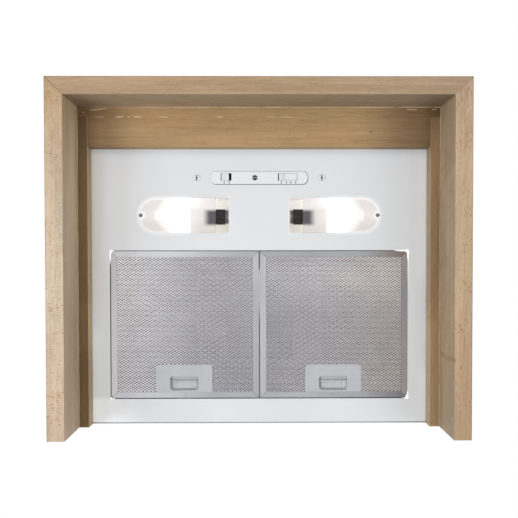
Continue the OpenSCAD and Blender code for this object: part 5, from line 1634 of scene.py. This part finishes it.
def cross_screw(head, recess, place, head_r, head_h, shank_r, shank_l, slot_r=0.0):
    """A pan-head screw: its seat at zero, its head towards +Z, with a cross or a slotted cross."""
    steps = 32
    flat = (0.88 if slot_r else 0.68) * head_r
    dome = [(flat + (head_r - flat) * math.sin(a), head_h * (0.35 + 0.65 * math.cos(a)))
            for a in (math.pi / 2 * k / 5 for k in range(6))]
    head.turned(dome + [(head_r, 0), (shank_r, 0), (shank_r, 0.4 * shank_r - shank_l),
                        (0.6 * shank_r, -shank_l), (0, -shank_l)], steps, place)
    a, arm = (0.17 if slot_r else 0.13) * head_r, 0.56 * head_r
    cross = []
    for k in range(4):
        c, s = round(math.cos(k * math.pi / 2)), round(math.sin(k * math.pi / 2))
        b = max(arm, slot_r) if k % 2 else arm * (0.75 if slot_r else 1.0)
        cross += [(x * c - y * s, x * s + y * c) for x, y in ((b, -a), (b, a), (a, a))]
    circle = [turn(360 * i / steps, flat) for i in range(steps)]
    loops = [circle, cross]
    top = head.add([(x, y, head_h) for loop in loops for x, y in loop], place)
    for p, q, r in tessellate_polygon([[(x, y, 0) for x, y in loop] for loop in loops]):
        head.faces.append((top[p], top[q], top[r]))
    depth = min(0.75 * head_h, 1.2 * MM)
    rim = recess.add([(x, y, head_h) for x, y in cross], place)
    floor = recess.add([(0.6 * x, 0.6 * y, head_h - depth) for x, y in cross], place)
    n = len(cross)
    for i in range(n):
        j = (i + 1) % n
        recess.faces.append((rim[i], rim[j], floor[j], floor[i]))
    recess.faces.append(tuple(floor))


class HOOD_OT_screws(bpy.types.Operator):
    """All screws, with recesses in their heads"""
    bl_idname = "hood.screws"
    bl_label = "Screws"

    def execute(self, context):
        down = Matrix.Rotation(math.pi, 4, "X")
        covers = solids("cover_screws")
        lamps = [b for b in covers if abs((b[0] + b[1]).x) / 2 > 0.15]
        panels = [b for b in covers if abs((b[0] + b[1]).x) / 2 < 0.15]
        self.group("lamp_screws", "dull", "cover_screws", lamps, down, 1.6, 1.45)
        self.group("panel_screws", "chrome", "cover_screws", panels, down, 1.9, 1.45, grown=1.7,
                   slotted=True)
        self.group("bezel_cross_screw", "black", "bezel_screw", solids("bezel_screw"), down,
                   1.2, 1.45, slotted=True)
        self.group("surround_screws", "bright", "wood_screws", solids("wood_screws"), Matrix(),
                   2.0, 1.5)
        case = solids("case_screws")
        collar = [b for b in case if abs((b[0] + b[1]).x) / 2 < 0.1]
        self.group("collar_screws", "bright", "case_screws", collar, Matrix(), 2.2, 1.9)
        for side, sign in SIDES.items():
            found = [b for b in case if sign * (b[0] + b[1]).x / 2 > 0.1]
            out = Matrix.Rotation(sign * math.pi / 2, 4, "Y")
            self.group(f"{side}_chimney_screw", "bright", "case_screws", found, out, 2.2, 1.9)
        return {"FINISHED"}

    def group(self, name, look, node, boxes, aim, head_h, shank_r, grown=0.0, slotted=False):
        """Screws in the places of a node's solids, with their heads aimed one way."""
        out = aim.to_3x3() @ Vector((0, 0, 1))
        axis = max(range(3), key=lambda k: abs(out[k]))
        heads, recesses = Mould(), Mould()
        draw = random.Random(name)
        for lo, hi in boxes:
            tip = hi if out[axis] > 0 else lo
            head_high = min(head_h * MM, 0.95 * (hi - lo)[axis])
            place = (lo + hi) / 2
            place[axis] = tip[axis] - out[axis] * (head_high - (0.3 * MM if grown else 0.0))
            head_r = max((hi - lo)[k] for k in range(3) if k != axis) / 2 + grown * MM
            length = (hi - lo)[axis] - head_high
            angle = draw.uniform(-0.3, 0.1) if slotted else draw.uniform(0, math.pi / 2)
            angle += math.pi / 2 if look == "black" else 0.0
            spin = Matrix.Rotation(angle, 4, "Z")
            cross_screw(heads, recesses, Matrix.Translation(place) @ aim @ spin, head_r,
                        head_high, shank_r * MM, length, 0.84 * head_r if slotted else 0.0)
        heads.piece(name, f"{look}_screw", "hood", "screw_steel", [node], smooth_below=38)
        recesses.piece(f"{name}_recess", f"{look}_recess", "hood", "screw_steel")


class HOOD_OT_stage(bpy.types.Operator):
    """The floor, the soft lights, the sky and the camera below the hood"""
    bl_idname = "hood.stage"
    bl_label = "Stage"

    def execute(self, context):
        look = context.scene.hood_stage
        self.floor(look)
        self.sky(look)
        aim = Vector((0.0, -0.25, PANEL_Z))
        soft_light("left", look.left_power, 0.45, (-1.10, 0.10, -1.05), aim)
        soft_light("right", look.right_power, 0.60, (1.10, 0.05, -1.05), aim)
        soft_light("fill", look.fill_power, 1.8, (0.0, -0.30, look.floor_drop + 0.08), aim)
        soft_light("top", look.top_power, 1.6, (0.9, -1.3, 1.7), Vector((0, -0.2, 0.1)))
        soft_light("front", look.front_power, 0.8, (-1.0, -2.6, 0.25), Vector((0, -0.3, 0.0)))
        self.camera()
        return {"FINISHED"}

    def floor(self, look):
        """A wide floor below the hood."""
        half = 3.0
        mesh = bpy.data.meshes.new("floor")
        mesh.from_pydata([(x, y, look.floor_drop) for x, y in block(-half, -half, half, half)],
                         [], [(0, 1, 2, 3)])
        mesh.materials.append(finish("floor_paint"))
        made = add_object("floor", mesh)

    def sky(self, look):
        """White where it is seen or mirrored, a soft grey for the light that it gives."""
        world = bpy.data.worlds.new("sky")
        bpy.context.scene.world = world
        world.use_nodes = True
        tree = world.node_tree
        back = tree.nodes["Background"]
        path = tree.nodes.new("ShaderNodeLightPath")
        seen = path.outputs["Is Camera Ray"]
        for ray in ("Is Glossy Ray", "Is Transmission Ray"):
            both = tree.nodes.new("ShaderNodeMath")
            both.operation = "MAXIMUM"
            tree.links.new(seen, both.inputs[0])
            tree.links.new(path.outputs[ray], both.inputs[1])
            seen = both.outputs[0]
        level = tree.nodes.new("ShaderNodeMapRange")
        level.inputs["To Min"].default_value = look.sky
        level.inputs["To Max"].default_value = 1.0
        tree.links.new(seen, level.inputs["Value"])
        back.inputs["Color"].default_value = (1.0, 1.0, 1.0, 1.0)
        tree.links.new(level.outputs[0], back.inputs["Strength"])

    def camera(self):
        """A camera straight below, as the photograph was taken, with its lens and shift worked out for
        a frame 518 pixels square.
        """
        frame_px = 518
        focal_px = 588.29
        axis_px = (262.784, 269.790)
        tip, roll, yaw = (math.radians(a) for a in (1.0836, -0.3967, -0.0818))
        data = bpy.data.cameras.new("camera")
        data.sensor_width = 36.0
        data.lens = focal_px / frame_px * data.sensor_width
        data.shift_x = (frame_px / 2 - axis_px[0]) / frame_px
        data.shift_y = (axis_px[1] - frame_px / 2) / frame_px
        data.clip_start = 0.01
        spin = (Matrix.Rotation(yaw, 3, "Z") @ Matrix.Rotation(roll, 3, "Y")
                @ Matrix.Rotation(tip, 3, "X"))
        made = add_object("camera", data)
        right, down, ahead = spin[0], spin[1], spin[2]
        turned = Matrix((right, -down, -ahead)).transposed().to_4x4()
        made.matrix_world = Matrix.Translation((-0.0011, -0.25744, -1.09509)) @ turned
        scene = bpy.context.scene
        scene.camera = made
        scene.view_settings.view_transform = "Standard"


def soft_light(name, power, size, place, aim):
    """A square lamp that faces a point and isn't seen itself."""
    data = bpy.data.lights.new(name, "AREA")
    data.energy = power
    data.size = size
    made = add_object(name, data)
    made.location = place
    made.rotation_euler = (aim - Vector(place)).to_track_quat("-Z", "Y").to_euler()
    made.visible_camera = False


GROUPS = {
    "hood_wood": WoodLooks,
    "hood_sheet": SheetLooks,
    "hood_filter": FilterLooks,
    "hood_lamp": LampLooks,
    "hood_switch": SwitchLooks,
    "hood_stage": StageLooks,
}
OPERATORS = (
    HOOD_OT_surround, HOOD_OT_panel, HOOD_OT_canopy, HOOD_OT_filters, HOOD_OT_latches,
    HOOD_OT_lamps, HOOD_OT_switch, HOOD_OT_blower, HOOD_OT_outlet, HOOD_OT_wiring,
    HOOD_OT_screws, HOOD_OT_stage,
)


class HOOD_PT_sidebar(bpy.types.Panel):
    """Lists the hood's operators and the sizes and colours that they use"""
    bl_idname = "HOOD_PT_sidebar"
    bl_label = "Range Hood"
    bl_space_type = "VIEW_3D"
    bl_region_type = "UI"
    bl_category = "Range Hood"

    def draw(self, context):
        for operator in OPERATORS:
            self.layout.operator(operator.bl_idname)
        for name, group in GROUPS.items():
            box = self.layout.box()
            for key in group.__annotations__:
                box.prop(getattr(context.scene, name), key)


CLASSES = (*GROUPS.values(), *OPERATORS, HOOD_PT_sidebar)


def register():
    """Makes the classes and the scene's settings known."""
    for cls in CLASSES:
        bpy.utils.register_class(cls)
    for name, group in GROUPS.items():
        setattr(bpy.types.Scene, name, PointerProperty(type=group))


def unregister():
    """Takes the settings and the classes away again."""
    for name in GROUPS:
        delattr(bpy.types.Scene, name)
    for cls in reversed(CLASSES):
        bpy.utils.unregister_class(cls)


def main():
    """Makes every piece and the stage."""
    register()
    for operator in OPERATORS:
        group, name = operator.bl_idname.split(".")
        getattr(getattr(bpy.ops, group), name)()


if __name__ == "__main__":
    main()
